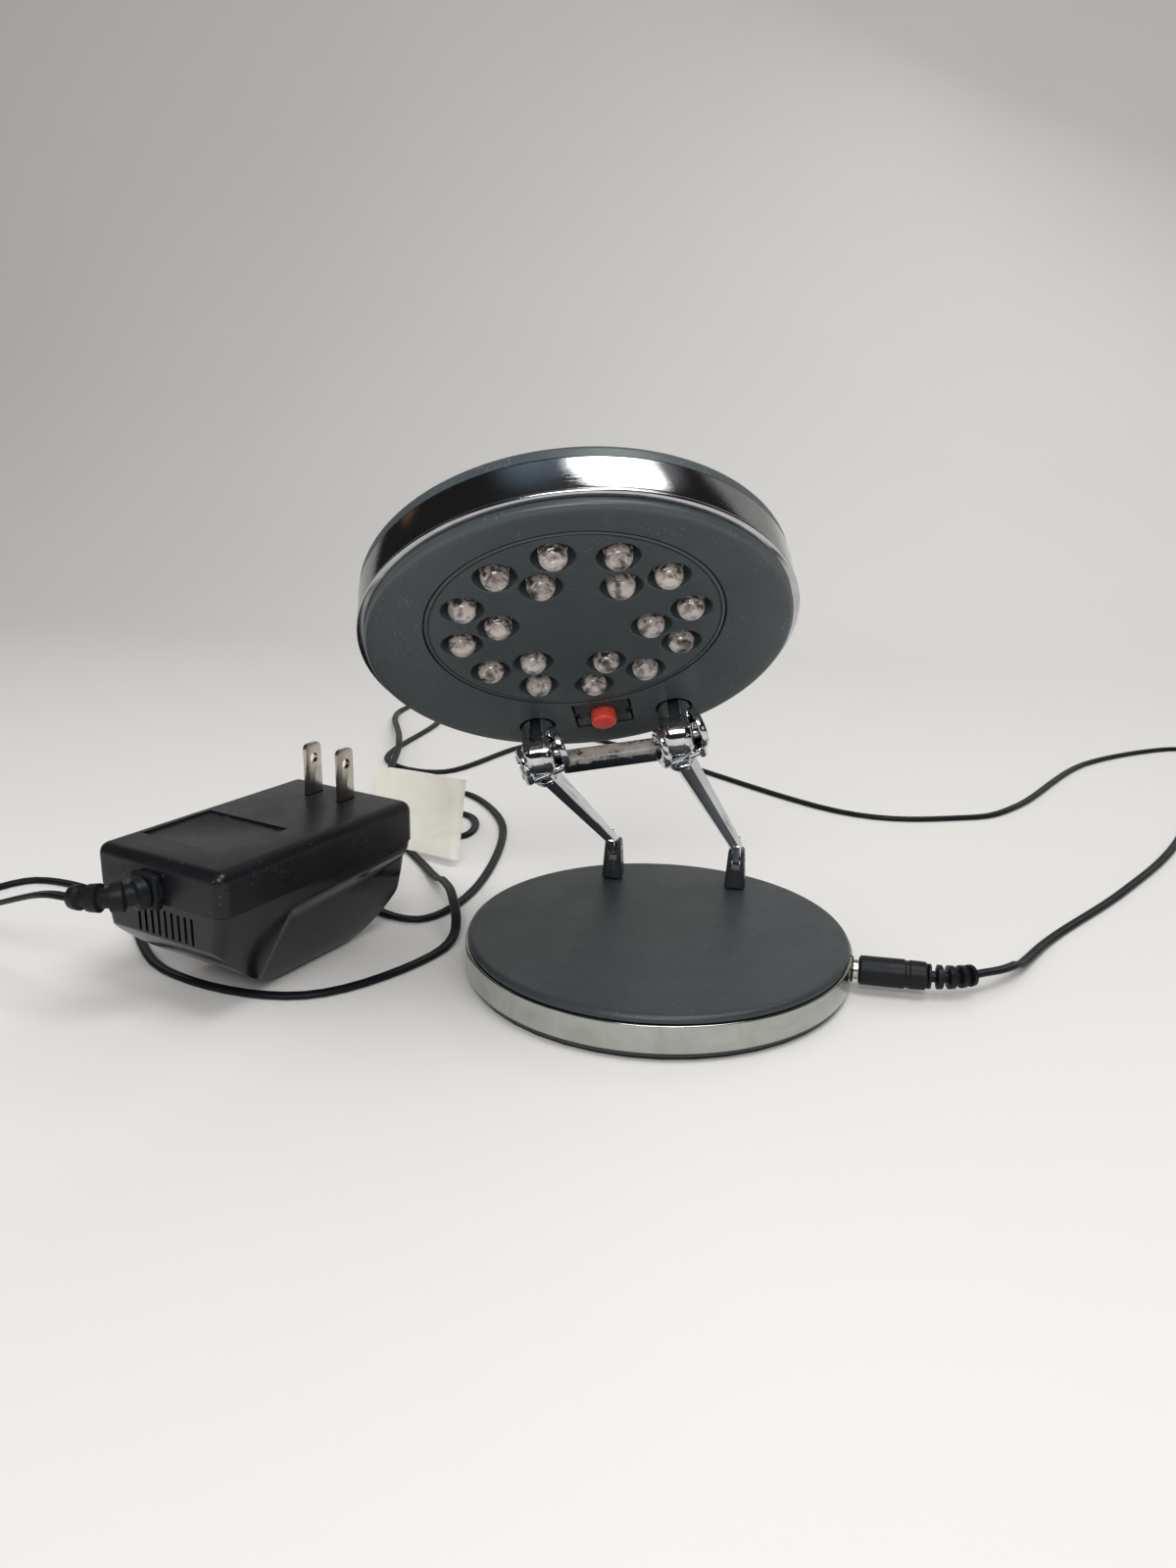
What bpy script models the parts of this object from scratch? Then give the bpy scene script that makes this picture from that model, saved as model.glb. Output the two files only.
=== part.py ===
"""A small folding desk lamp: a round weighted base, two slanted arms with a crossbar, and a round head
with eighteen LEDs. Its twin-lead cord runs from a barrel plug to a two-blade adapter on the table.
Lengths are in metres. The lug axis is X, the user sits towards -Y, and Z is up."""

import math

import bmesh
import bpy
from mathutils import Matrix, Vector

# Shared clearances and facets
gap = 0.0003
cut_over = 0.001
big_round_steps = 40
small_round_steps = 16
fine_round_steps = 10
merge_distance = 0.00001
sharp_angle = math.radians(35)

# Base
base_radius = 0.055
pad_inset = 0.0015
pad_radius = base_radius - pad_inset
pad_thick = 0.0008
plate_inset = 0.0005
plate_radius = base_radius - plate_inset
plate_rim_height = 0.0008
plate_floor = 0.0016
plate_wall_height = 0.0034
band_height = 0.0077
band_wall = 0.0016
band_round = 0.0004
cover_inset = 0.0007
cover_radius = base_radius - cover_inset
cover_thick = 0.0018
cover_edge_round = 0.0015
skirt_wall = 0.0018
weight_inset = 0.019
weight_radius = base_radius - weight_inset
weight_thick = 0.0046
pad_top = pad_thick
plate_low = pad_top + gap
plate_high = plate_low + plate_rim_height
floor_top = plate_low + plate_floor
wall_top = floor_top + plate_wall_height
band_low = plate_high + gap
band_high = band_low + band_height
cover_low = band_high + gap
base_top = cover_low + cover_thick
skirt_radius = base_radius - band_wall - gap
skirt_inner = skirt_radius - skirt_wall
weight_low = floor_top + gap

# Screws that close the base
screw_count = 3
screw_first_angle = math.radians(30)
screw_inset = 0.0105
screw_circle = base_radius - screw_inset
screw_head_radius = 0.0023
screw_head_height = 0.0011
screw_shaft_radius = 0.0012
screw_boss_radius = 0.0036
screw_tip_depth = 0.0028
screw_head_low = plate_low + gap
screw_head_top = screw_head_low + screw_head_height
screw_tip = wall_top + gap + screw_tip_depth

# Power jack in the base's side
jack_y = -0.002
jack_z = 0.0060
jack_sleeve_radius = 0.0036
jack_bore_radius = 0.00305
jack_pin_radius = 0.0008
jack_pin_length = 0.0090
jack_proud = 0.0003
jack_sleeve_length = 0.0090
jack_box_length = 0.0060
jack_box_width = 0.0095
jack_box_height = 0.0066
jack_mouth_x = base_radius + jack_proud
jack_back_x = jack_mouth_x - jack_sleeve_length

# Lugs that stand on the base
lug_spacing = 0.0388
lug_y = 0.0376
lug_height = 0.0129
lug_foot_width = 0.0065
lug_top_width = 0.0049
lug_foot_depth = 0.0066
lug_top_depth = 0.0052
lug_slot_width = 0.0026
lug_slot_depth = 0.0064
lug_pin_drop = 0.0030
lug_pin_radius = 0.0010
lug_pin_length = 0.0052
lug_stem_radius = 0.0021
lug_swage_radius = 0.0034
lug_swage_thick = 0.0012
lug_foot_z = base_top + gap
lug_stem_length = cover_thick + 2 * gap + lug_swage_thick
lug_pin_z = base_top + lug_height - lug_pin_drop

# The upper hinge, which the photographed lamp carries askew to the lug axis
hinge_x = -0.0168
hinge_y = 0.0064
hinge_z = 0.0634
hinge_yaw = math.radians(7.7)
hinge_roll = math.radians(10.1)
head_tilt = math.radians(41.8)
hub_spacing = 0.0394
knuckle_radius = 0.0056
knuckle_width = 0.0095
hub_pin_radius = 0.0015
hub_pin_head_radius = 0.0029
hub_pin_head = 0.0010

# Arms
cheek_radius = 0.0064
cheek_thick = 0.0021
cheek_dish_radius = 0.0048
cheek_dish_depth = 0.0007
yoke_clear = 0.0004
yoke_thick = 0.0032
yoke_depth = 0.0060
tongue_thick = 0.0020
tongue_radius = 0.0024
tongue_neck = 0.0054
shank_sides = 6
shank_foot_radius = 0.0022
shank_top_radius = 0.0036
crossbar_height = 0.0058
crossbar_depth = 0.0046
crossbar_drop = 0.0044
crossbar_round = 0.0006
arm_slant = math.radians(15.4)
neck_edge_angle = math.radians(20)

# Head
head_radius = 0.0564
head_hinge_inset = 0.0170
head_aside = 0.0012
head_reach = head_radius - head_hinge_inset
head_drop = 0.0091
face_inset = 0.0018
face_edge_radius = head_radius - face_inset
face_round = 0.0006
face_thick = 0.0024
face_wall_top = 0.0080
head_band_start = 0.0027
head_band_end = 0.0126
head_band_wall = 0.0014
bead_proud = 0.0004
bead_width = 0.0012
shell_inset = 0.0007
shell_radius = head_radius - shell_inset
shell_side_end = 0.0148
shell_shoulder = 0.0016
shell_crown = 0.0184
shell_wall = 0.0018
shell_dome_shares = [(0, 1), (0.35, 0.94), (0.70, 0.72), (0.95, 0)]
head_wall = 0.0018
band_outer = head_radius - bead_proud
head_skirt_radius = band_outer - head_band_wall - gap
head_skirt_inner = head_skirt_radius - head_wall
shell_low = head_band_end + gap
shell_skirt_low = face_wall_top + gap

# LED insert
disc_radius = 0.0373
disc_offset = 0.0084
disc_flange = 0.0012
disc_plug_radius = 0.0356
disc_thick = 0.0040
led_hole_front = 0.0052
led_hole_back = 0.0039
led_dome_radius = 0.0035
led_tip = -0.0029
led_turn = math.radians(1.2)
led_outer_circle = 0.0291
led_outer_count = 12
led_inner_circle = 0.0192
led_inner_count = 6
led_inner_turn = led_turn + math.radians(45)
board_radius = 0.0340
board_low = 0.0060
board_thick = 0.0016

# Switch
switch_x = -0.0003
switch_y = -0.0020
switch_plate_width = 0.0160
switch_plate_height = 0.0130
switch_plate_thick = 0.0013
switch_plate_sink = 0.0003
switch_notch_width = 0.0016
switch_notch_height = 0.0030
switch_body_width = 0.0124
switch_body_height = 0.0104
switch_body_depth = 0.0072
button_radius = 0.0036
button_proud = 0.0032
button_travel = 0.0015
button_stem_radius = 0.0020
button_stem_end = 0.0052

# Brackets that hang the head on the hinge
neck_depth = 0.0092
flange_inner_reach = 0.0140
flange_inner_side = 0.0062
flange_outer_side = 0.0044
flange_thick = 0.0016
bracket_slot_width = 0.0022
bracket_slot_depth = 0.0026
bracket_screw_y = -0.0096
bracket_screw_radius = 0.0009
bracket_screw_head = 0.0017
bracket_screw_head_height = 0.0009
bracket_screw_bite = 0.0018

# Plug on the cord
plug_barrel_radius = 0.00275
plug_barrel_bore = 0.00125
plug_barrel_length = 0.0095
plug_body_radius = 0.0041
plug_body_length = 0.0183
plug_stand_off = 0.0016
plug_round = 0.0005
relief_ribs = 5
relief_points_per_span = 4
plug_relief_root = 0.0034
plug_relief_tip = 0.0023
plug_relief_length = 0.0129
rib_share = 0.74
plug_body_low = jack_mouth_x + plug_stand_off
plug_body_high = plug_body_low + plug_body_length

# Cord
cord_radius = 0.0015
points_per_span = 2

# Adapter on the table
adapter_x = -0.110
adapter_y = -0.0194
adapter_turn = math.radians(-19.5)
adapter_width = 0.0465
adapter_length = 0.076
adapter_height = 0.042
adapter_cap_depth = 0.0119
adapter_wall = 0.0022
adapter_corner = 0.0030
adapter_corner_steps = 3
hull_inset = 0.0004
hull_keel_width = 0.024
hull_flat_front = -0.002
hull_flat_back = 0.013
hull_front_rise = 0.020
hull_back_rise = 0.015
hull_curve_points = 7
hull_cavity_width = 0.034
hull_cavity_length = 0.056
hull_cavity_floor = 0.010
nameplate_x = -0.004
nameplate_y = -0.014
nameplate_width = 0.030
nameplate_length = 0.024
nameplate_depth = 0.0004
blade_spacing = 0.0125
blade_y = 0.027
blade_thick = 0.0015
blade_width = 0.0063
blade_height = 0.0157
blade_root = 0.0050
blade_hole_radius = 0.0015
blade_hole_drop = 0.0046
adapter_relief_x = -0.002
adapter_relief_z = 0.0335
adapter_relief_root = 0.0046
adapter_relief_tip = 0.0025
adapter_relief_reach = 0.0146
core_width = 0.030
core_length = 0.036
core_height = 0.022
core_low = hull_cavity_floor + gap
coil_width = 0.022
coil_length = 0.046
coil_height = 0.014

# Blank tag that the cord carries
tag_right_x = -0.078
tag_right_y = 0.0610
tag_right_z = 0.0074
tag_left_x = -0.118
tag_left_y = 0.0810
tag_left_z = 0.0006
tag_height = 0.030
tag_lean = 0.0085
tag_thick = 0.0005

# Centre lines of the strain reliefs: along and aside, in shares of the plug relief's length,
# and aside, out and down, in shares of the adapter relief's reach
plug_relief_shares = [(0, 0), (0.27, 0.016), (0.54, 0.078), (0.80, 0.186), (1, 0.302)]
adapter_relief_shares = [
    (0, 0, 0),
    (0, 0.247, 0),
    (0.108, 0.496, 0.007),
    (0.388, 0.711, 0.020),
    (0.719, 0.821, 0.048),
    (1, 0.848, 0.089),
]

# Centre line of the cord, from the plug's strain relief to the adapter's
cord_route = [
    (0.0886, 0.0021, 0.0060),
    (0.1035, 0.0165, 0.0030),
    (0.1175, 0.0465, 0.0018),
    (0.1490, 0.0940, 0.0018),
    (0.1810, 0.1520, 0.0018),
    (0.2160, 0.2420, 0.0018),
    (0.2300, 0.2960, 0.0018),
    (0.2190, 0.3100, 0.0018),
    (0.1700, 0.2670, 0.0018),
    (0.1290, 0.1900, 0.0018),
    (0.1026, 0.1657, 0.0018),
    (0.0540, 0.1620, 0.0018),
    (-0.0220, 0.2220, 0.0018),
    (-0.0700, 0.2540, 0.0018),
    (-0.0970, 0.2300, 0.0018),
    (-0.1200, 0.1780, 0.0018),
    (-0.1530, 0.1940, 0.0018),
    (-0.1520, 0.2700, 0.0018),
    (-0.1680, 0.3260, 0.0018),
    (-0.1790, 0.2820, 0.0022),
    (-0.1545, 0.2150, 0.0058),
    (-0.1440, 0.1810, 0.0056),
    (-0.1300, 0.1120, 0.0020),
    (-0.1040, 0.0340, 0.0018),
    (-0.0770, 0.0150, 0.0018),
    (-0.0670, 0.0480, 0.0018),
    (-0.0750, 0.1100, 0.0018),
    (-0.1010, 0.1480, 0.0018),
    (-0.1150, 0.1310, 0.0018),
    (-0.0900, 0.1180, 0.0018),
    (-0.0860, 0.0960, 0.0018),
    (-0.1060, 0.0860, 0.0018),
    (-0.0880, 0.0570, 0.0022),
    (-0.0695, 0.0255, 0.0060),
    (-0.0630, -0.0050, 0.0020),
    (-0.0900, -0.0415, 0.0018),
    (-0.1350, -0.0355, 0.0018),
    (-0.1730, 0.0050, 0.0018),
    (-0.2120, 0.0170, 0.0018),
    (-0.2210, -0.0120, 0.0030),
    (-0.1900, -0.0390, 0.0155),
    (-0.1560, -0.0570, 0.0297),
    (-0.1430, -0.0616, 0.0321),
]


def clear_scene():
    for old in list(bpy.data.objects):
        bpy.data.objects.remove(old, do_unlink=True)


def new_collection(name):
    collection = bpy.data.collections.new(name)
    bpy.context.scene.collection.children.link(collection)
    return collection


def finish(name, colour, roughness, metallic, alpha=1.0):
    material = bpy.data.materials.new(name)
    material.use_nodes = True
    shader = material.node_tree.nodes["Principled BSDF"]
    shader.inputs["Base Color"].default_value = (*colour, 1.0)
    shader.inputs["Roughness"].default_value = roughness
    shader.inputs["Metallic"].default_value = metallic
    shader.inputs["Alpha"].default_value = alpha
    return material


def make_object(name, mesh, material, parent=None, place=(0, 0, 0)):
    thing = bpy.data.objects.new(name, mesh)
    thing.location = place
    thing.parent = parent
    if material is None:
        cutters.objects.link(thing)
        thing.hide_render = True
        thing.display_type = "WIRE"
    else:
        parts.objects.link(thing)
        mesh.materials.append(material)
    return thing


def mesh_from(name, build):
    shape = bmesh.new()
    build(shape)
    mesh = bpy.data.meshes.new(name)
    shape.to_mesh(mesh)
    shape.free()
    return mesh


def block(name, size, place, material, parent=None):
    def build(shape):
        bmesh.ops.create_cube(shape, size=1)
        bmesh.ops.scale(shape, vec=size, verts=shape.verts)

    return make_object(name, mesh_from(name, build), material, parent, place)


def tapered_block(name, low_size, high_size, height, place, material, parent=None):
    def build(shape):
        bmesh.ops.create_cube(shape, size=1)
        for vert in shape.verts:
            size = high_size if vert.co.z > 0 else low_size
            rise = height if vert.co.z > 0 else 0
            vert.co = Vector((vert.co.x * size[0], vert.co.y * size[1], rise))

    return make_object(name, mesh_from(name, build), material, parent, place)


def rod_mesh(name, low_radius, high_radius, length, sides, turn):
    def build(shape):
        bmesh.ops.create_cone(
            shape, cap_ends=True, segments=sides, radius1=low_radius, radius2=high_radius, depth=length
        )
        bmesh.ops.transform(shape, matrix=turn, verts=shape.verts)

    mesh = mesh_from(name, build)
    mesh.shade_smooth()
    mesh.set_sharp_from_angle(angle=sharp_angle)
    return mesh


along = {"X": Matrix.Rotation(math.radians(90), 4, "Y"), "Z": Matrix.Identity(4)}


def rod(name, radius, length, place, axis, material, parent=None, sides=small_round_steps):
    mesh = rod_mesh(name, radius, radius, length, sides, along[axis])
    return make_object(name, mesh, material, parent, place)


def turned(name, profile, closed, material, parent=None, place=(0, 0, 0), steps=big_round_steps):
    """Turns a profile of radius and height round Z. It runs down its outer side, top to bottom."""
    def build(shape):
        verts = [shape.verts.new((radius, 0, height)) for radius, height in profile]
        for first, second in zip(verts, verts[1:]):
            shape.edges.new((first, second))
        if closed:
            shape.edges.new((verts[-1], verts[0]))

    mesh = mesh_from(name, build)
    thing = make_object(name, mesh, material, parent, place)
    screw = thing.modifiers.new("turn", "SCREW")
    screw.steps = steps
    screw.render_steps = steps
    screw.use_merge_vertices = True
    screw.merge_threshold = merge_distance
    return thing


def combine(thing, other, operation):
    change = thing.modifiers.new(operation.lower(), "BOOLEAN")
    change.operation = operation
    change.solver = "EXACT"
    change.object = other
    return thing


def cut(thing, *others):
    for other in others:
        combine(thing, other, "DIFFERENCE")
    return thing


def join(thing, *others):
    for other in others:
        combine(thing, other, "UNION")
    return thing


def soften(thing, width, segments=2, angle=40):
    bevel = thing.modifiers.new("soft_edges", "BEVEL")
    bevel.width = width
    bevel.segments = segments
    bevel.limit_method = "ANGLE"
    bevel.angle_limit = math.radians(angle)
    bevel.use_clamp_overlap = True
    return thing


def smooth_path(points, per_span):
    """Reads points from a Catmull-Rom curve that passes through every route point."""
    guides = [Vector(point) for point in points]
    guides = [2 * guides[0] - guides[1], *guides, 2 * guides[-1] - guides[-2]]
    path = []
    for before, start, end, after in zip(guides, guides[1:], guides[2:], guides[3:]):
        for step in range(per_span):
            t = step / per_span
            path.append(
                0.5 * (
                    2 * start
                    + (end - before) * t
                    + (2 * before - 5 * start + 4 * end - after) * t * t
                    + (3 * start - before - 3 * end + after) * t * t * t
                )
            )
    path.append(guides[-2])
    return path


def tube(name, path, radii, material, rounds=2):
    curve = bpy.data.curves.new(name, "CURVE")
    curve.dimensions = "3D"
    curve.bevel_depth = max(radii)
    curve.bevel_resolution = rounds
    curve.use_fill_caps = True
    spline = curve.splines.new("POLY")
    spline.points.add(len(path) - 1)
    for point, place, radius in zip(spline.points, path, radii):
        point.co = (*place, 1)
        point.radius = radius / curve.bevel_depth
    return make_object(name, curve, material)


def ribbed_relief(name, route, root, tip, material):
    """A tapered strain relief whose ribs are rings of a larger radius."""
    path = smooth_path(route, relief_points_per_span)
    last = len(path) - 1
    radii = []
    for index in range(last + 1):
        radius = root + (tip - root) * index / last
        in_groove = index % (last // relief_ribs) == 0 and 0 < index < last
        radii.append(radius * rib_share if in_groove else radius)
    return tube(name, path, radii, material)


def quarter_round(centre_radius, centre_height, radius, start, end, count=2):
    """Points of an arc in a profile, from one angle to the other, in degrees."""
    points = []
    for step in range(count + 1):
        angle = math.radians(start + (end - start) * step / count)
        points.append((
            centre_radius + radius * math.cos(angle),
            centre_height + radius * math.sin(angle),
        ))
    return points


def screw_places():
    for index in range(screw_count):
        angle = screw_first_angle + index * math.tau / screw_count
        yield screw_circle * math.cos(angle), screw_circle * math.sin(angle)


def make_base():
    soft = finish("foam", (0.03, 0.03, 0.03), 0.95, 0)
    turned("base_pad", [(0, pad_top), (pad_radius, pad_top), (pad_radius, 0), (0, 0)], False, soft)

    plate = turned(
        "base_plate",
        [
            (0, floor_top),
            (skirt_inner, floor_top),
            (skirt_inner, wall_top),
            (skirt_radius, wall_top),
            (skirt_radius, plate_high),
            (plate_radius, plate_high),
            (plate_radius, plate_low),
            (0, plate_low),
        ],
        False,
        dark_plastic,
    )
    turned(
        "base_band",
        [
            (base_radius - band_wall, band_high),
            (base_radius - band_round, band_high),
            (base_radius, band_high - band_round),
            (base_radius, band_low + band_round),
            (base_radius - band_round, band_low),
            (base_radius - band_wall, band_low),
        ],
        True,
        chrome,
    )
    edge = quarter_round(
        cover_radius - cover_edge_round, base_top - cover_edge_round, cover_edge_round, 90, 0
    )
    cover = turned(
        "base_cover",
        [
            (0, base_top),
            *edge,
            (cover_radius, cover_low),
            (skirt_radius, cover_low),
            (skirt_radius, wall_top + gap),
            (skirt_inner, wall_top + gap),
            (skirt_inner, cover_low),
            (0, cover_low),
        ],
        False,
        dark_plastic,
    )
    turned(
        "base_weight",
        [
            (0, weight_low + weight_thick),
            (weight_radius, weight_low + weight_thick),
            (weight_radius, weight_low),
            (0, weight_low),
        ],
        False,
        steel,
    )
    for index, (x, y) in enumerate(screw_places()):
        seat_height = wall_top - plate_low - gap
        seat_z = plate_low + gap + seat_height / 2
        seat = rod(f"plate_seat_{index}", screw_boss_radius, seat_height, (x, y, seat_z), "Z", None)
        boss_low = wall_top + gap
        boss_height = cover_low + gap - boss_low
        boss_z = boss_low + boss_height / 2
        boss = rod(f"cover_boss_{index}", screw_boss_radius, boss_height, (x, y, boss_z), "Z", None)
        sink_top = screw_head_top + gap
        sink_length = sink_top - plate_low + cut_over
        sink_z = sink_top - sink_length / 2
        sink = rod(
            f"head_sink_{index}", screw_head_radius + gap, sink_length, (x, y, sink_z), "Z", None
        )
        bore_length = screw_tip + gap - plate_low
        bore_z = plate_low + bore_length / 2
        bore = rod(
            f"screw_bore_{index}", screw_shaft_radius + gap, bore_length, (x, y, bore_z), "Z", None
        )
        join(plate, seat)
        cut(plate, sink, bore)
        join(cover, boss)
        cut(cover, bore)
    return cover, plate


def make_base_screws():
    for index, (x, y) in enumerate(screw_places()):
        turned(
            f"base_screw_{index + 1}",
            [
                (0, screw_tip),
                (screw_shaft_radius, screw_tip),
                (screw_shaft_radius, screw_head_top),
                (screw_head_radius, screw_head_top),
                (screw_head_radius, screw_head_low),
                (0, screw_head_low),
            ],
            False,
            steel,
            place=(x, y, 0),
            steps=fine_round_steps,
        )


def make_jack(cover, plate):
    sleeve_centre = (jack_mouth_x - jack_sleeve_length / 2, jack_y, jack_z)
    box_centre = (jack_back_x - jack_box_length / 2, jack_y, jack_z)
    housing = rod(
        "jack_housing", jack_sleeve_radius, jack_sleeve_length, sleeve_centre, "X", black_plastic
    )
    box_joined = block(
        "jack_box",
        (jack_box_length + cut_over, jack_box_width, jack_box_height),
        (box_centre[0] + cut_over / 2, jack_y, jack_z),
        None,
    )
    join(housing, box_joined)
    bore = rod(
        "jack_bore", jack_bore_radius, jack_sleeve_length + cut_over,
        (jack_mouth_x - jack_sleeve_length / 2 + cut_over / 2, jack_y, jack_z), "X", None,
    )
    pin = rod(
        "jack_pin", jack_pin_radius, jack_pin_length,
        (jack_back_x + jack_pin_length / 2 - cut_over, jack_y, jack_z),
        "X", None, sides=fine_round_steps,
    )
    cut(housing, bore)
    join(housing, pin)
    window_radius = jack_sleeve_radius + gap
    window_length = base_radius
    window = rod(
        "jack_window", window_radius, window_length,
        (base_radius / 2 + window_length / 2 + cut_over, jack_y, jack_z), "X", None,
    )
    cut(bpy.data.objects["base_band"], window)
    room = block(
        "jack_room",
        (
            jack_box_length + gap * 2,
            jack_box_width + gap * 2,
            jack_box_height + gap * 2,
        ),
        box_centre,
        None,
    )
    cut(cover, window, room)
    cut(plate, window, room)


def make_lugs(cover):
    for side, sign in (("left", -1), ("right", 1)):
        x = sign * lug_spacing / 2
        lug = tapered_block(
            f"lug_{side}",
            (lug_foot_width, lug_foot_depth),
            (lug_top_width, lug_top_depth),
            lug_height - gap,
            (x, lug_y, lug_foot_z),
            black_metal,
        )
        soften(lug, lug_top_width / 8, 1)
        stem = rod(
            f"lug_stem_{side}", lug_stem_radius, lug_stem_length,
            (x, lug_y, lug_foot_z - lug_stem_length / 2 + gap), "Z", None, sides=fine_round_steps,
        )
        slot = block(
            f"lug_slot_{side}",
            (lug_slot_width, lug_foot_depth + cut_over, lug_slot_depth + cut_over),
            (x, lug_y, base_top + lug_height - lug_slot_depth / 2 + cut_over / 2),
            None,
        )
        pin_bore = rod(
            f"lug_bore_{side}", lug_pin_radius + gap, lug_foot_width + cut_over,
            (x, lug_y, lug_pin_z), "X", None, sides=fine_round_steps,
        )
        # The stem's swaged end grips the cover from below.
        swage = rod(
            f"lug_swage_{side}", lug_swage_radius, lug_swage_thick,
            (x, lug_y, cover_low - gap - lug_swage_thick / 2), "Z", None, sides=fine_round_steps,
        )
        join(lug, stem, swage)
        cut(lug, slot, pin_bore)
        cover_hole = rod(
            f"lug_hole_{side}", lug_stem_radius + gap, cover_thick + cut_over * 2,
            (x, lug_y, base_top - cover_thick / 2), "Z", None, sides=fine_round_steps,
        )
        cut(cover, cover_hole)
        rod(
            f"lug_pin_{side}", lug_pin_radius, lug_pin_length,
            (x, lug_y, lug_pin_z), "X", steel, sides=fine_round_steps,
        )


def make_frame(name, matrix):
    frame = bpy.data.objects.new(name, None)
    parts.objects.link(frame)
    frame.matrix_world = matrix
    return frame


def hinge_matrix():
    turn = (
        Matrix.Rotation(hinge_yaw, 4, "Z")
        @ Matrix.Rotation(-hinge_roll, 4, "Y")
        @ Matrix.Rotation(-head_tilt, 4, "X")
    )
    return Matrix.Translation((hinge_x, hinge_y, hinge_z)) @ turn


def make_arm(side, sign):
    foot = Vector((sign * lug_spacing / 2, lug_y, lug_pin_z))
    hinge = hinge_matrix()
    hub = hinge @ Vector((sign * hub_spacing / 2, 0, 0))
    hinge_x = (hinge.to_3x3() @ Vector((1, 0, 0))).normalized()

    # The fork stands square to the upper hinge, and points at the foot in that plane.
    down = foot - hub
    down = (down - hinge_x * down.dot(hinge_x)).normalized()
    fork_turn = Matrix((hinge_x, down.cross(hinge_x), down)).transposed().to_4x4()
    fork = make_frame(f"fork_frame_{side}", Matrix.Translation(hub) @ fork_turn)

    # The tongue stands in the lug's slot, square to the lug axis.
    up = hub - foot
    up = Vector((0, up.y, up.z)).normalized()
    tongue_turn = Matrix((Vector((1, 0, 0)), up.cross(Vector((1, 0, 0))), up)).transposed().to_4x4()
    heel = make_frame(f"tongue_frame_{side}", Matrix.Translation(foot) @ tongue_turn)

    yoke_low = knuckle_radius + yoke_clear
    yoke_end = yoke_low + yoke_thick
    cheek_x = knuckle_width / 2 + gap + cheek_thick / 2
    fork_width = 2 * cheek_x + cheek_thick
    arm = block(
        f"arm_{side}",
        (fork_width, yoke_depth, yoke_thick),
        (0, 0, yoke_low + yoke_thick / 2),
        chrome,
        fork,
    )
    for cheek_sign in (-1, 1):
        place = (cheek_sign * cheek_x, 0, 0)
        cheek = rod(f"cheek_{side}_{cheek_sign}", cheek_radius, cheek_thick, place, "X", None, fork)
        web = block(
            f"cheek_web_{side}_{cheek_sign}",
            (cheek_thick, yoke_depth, yoke_end),
            (cheek_sign * cheek_x, 0, yoke_end / 2),
            None,
            fork,
        )
        join(arm, cheek, web)
        face_x = cheek_sign * (cheek_x + cheek_thick / 2)
        dish = rod(
            f"dish_{side}_{cheek_sign}", cheek_dish_radius, 2 * cheek_dish_depth,
            (face_x, 0, 0), "X", None, fork,
        )
        if cheek_sign == sign:
            cut(arm, dish)
    pin_bore = rod(
        f"fork_bore_{side}", hub_pin_radius + gap, fork_width + cut_over, (0, 0, 0), "X", None, fork,
        sides=fine_round_steps,
    )

    # The shank runs from the tongue's neck to the yoke.
    neck_top = heel.matrix_world @ Vector((0, 0, tongue_neck))
    yoke_mid = fork.matrix_world @ Vector((0, 0, yoke_low + yoke_thick / 2))
    run = yoke_mid - neck_top
    shank_z = run.normalized()
    shank_x = (hinge_x - shank_z * hinge_x.dot(shank_z)).normalized()
    shank_turn = Matrix((shank_x, shank_z.cross(shank_x), shank_z)).transposed().to_4x4()
    shank_frame = make_frame(f"shank_frame_{side}", Matrix.Translation(neck_top) @ shank_turn)
    ridge_turn = Matrix.Rotation(math.pi / shank_sides, 4, "Z")
    shank_mesh = rod_mesh(
        f"shank_{side}", shank_foot_radius, shank_top_radius, run.length, shank_sides, ridge_turn
    )
    shank = make_object(f"shank_{side}", shank_mesh, None, shank_frame, (0, 0, run.length / 2))

    tongue = rod(
        f"tongue_{side}", tongue_radius, tongue_thick, (0, 0, 0), "X", None, heel
    )
    neck = block(
        f"tongue_neck_{side}",
        (tongue_thick, 2 * tongue_radius * math.cos(neck_edge_angle), tongue_neck + tongue_radius),
        (0, 0, (tongue_neck + tongue_radius) / 2),
        None,
        heel,
    )
    tongue_bore = rod(
        f"tongue_bore_{side}", lug_pin_radius + gap, tongue_thick + cut_over, (0, 0, 0), "X", None,
        heel, sides=fine_round_steps,
    )
    join(arm, shank, neck, tongue)
    cut(arm, pin_bore, tongue_bore)


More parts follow.
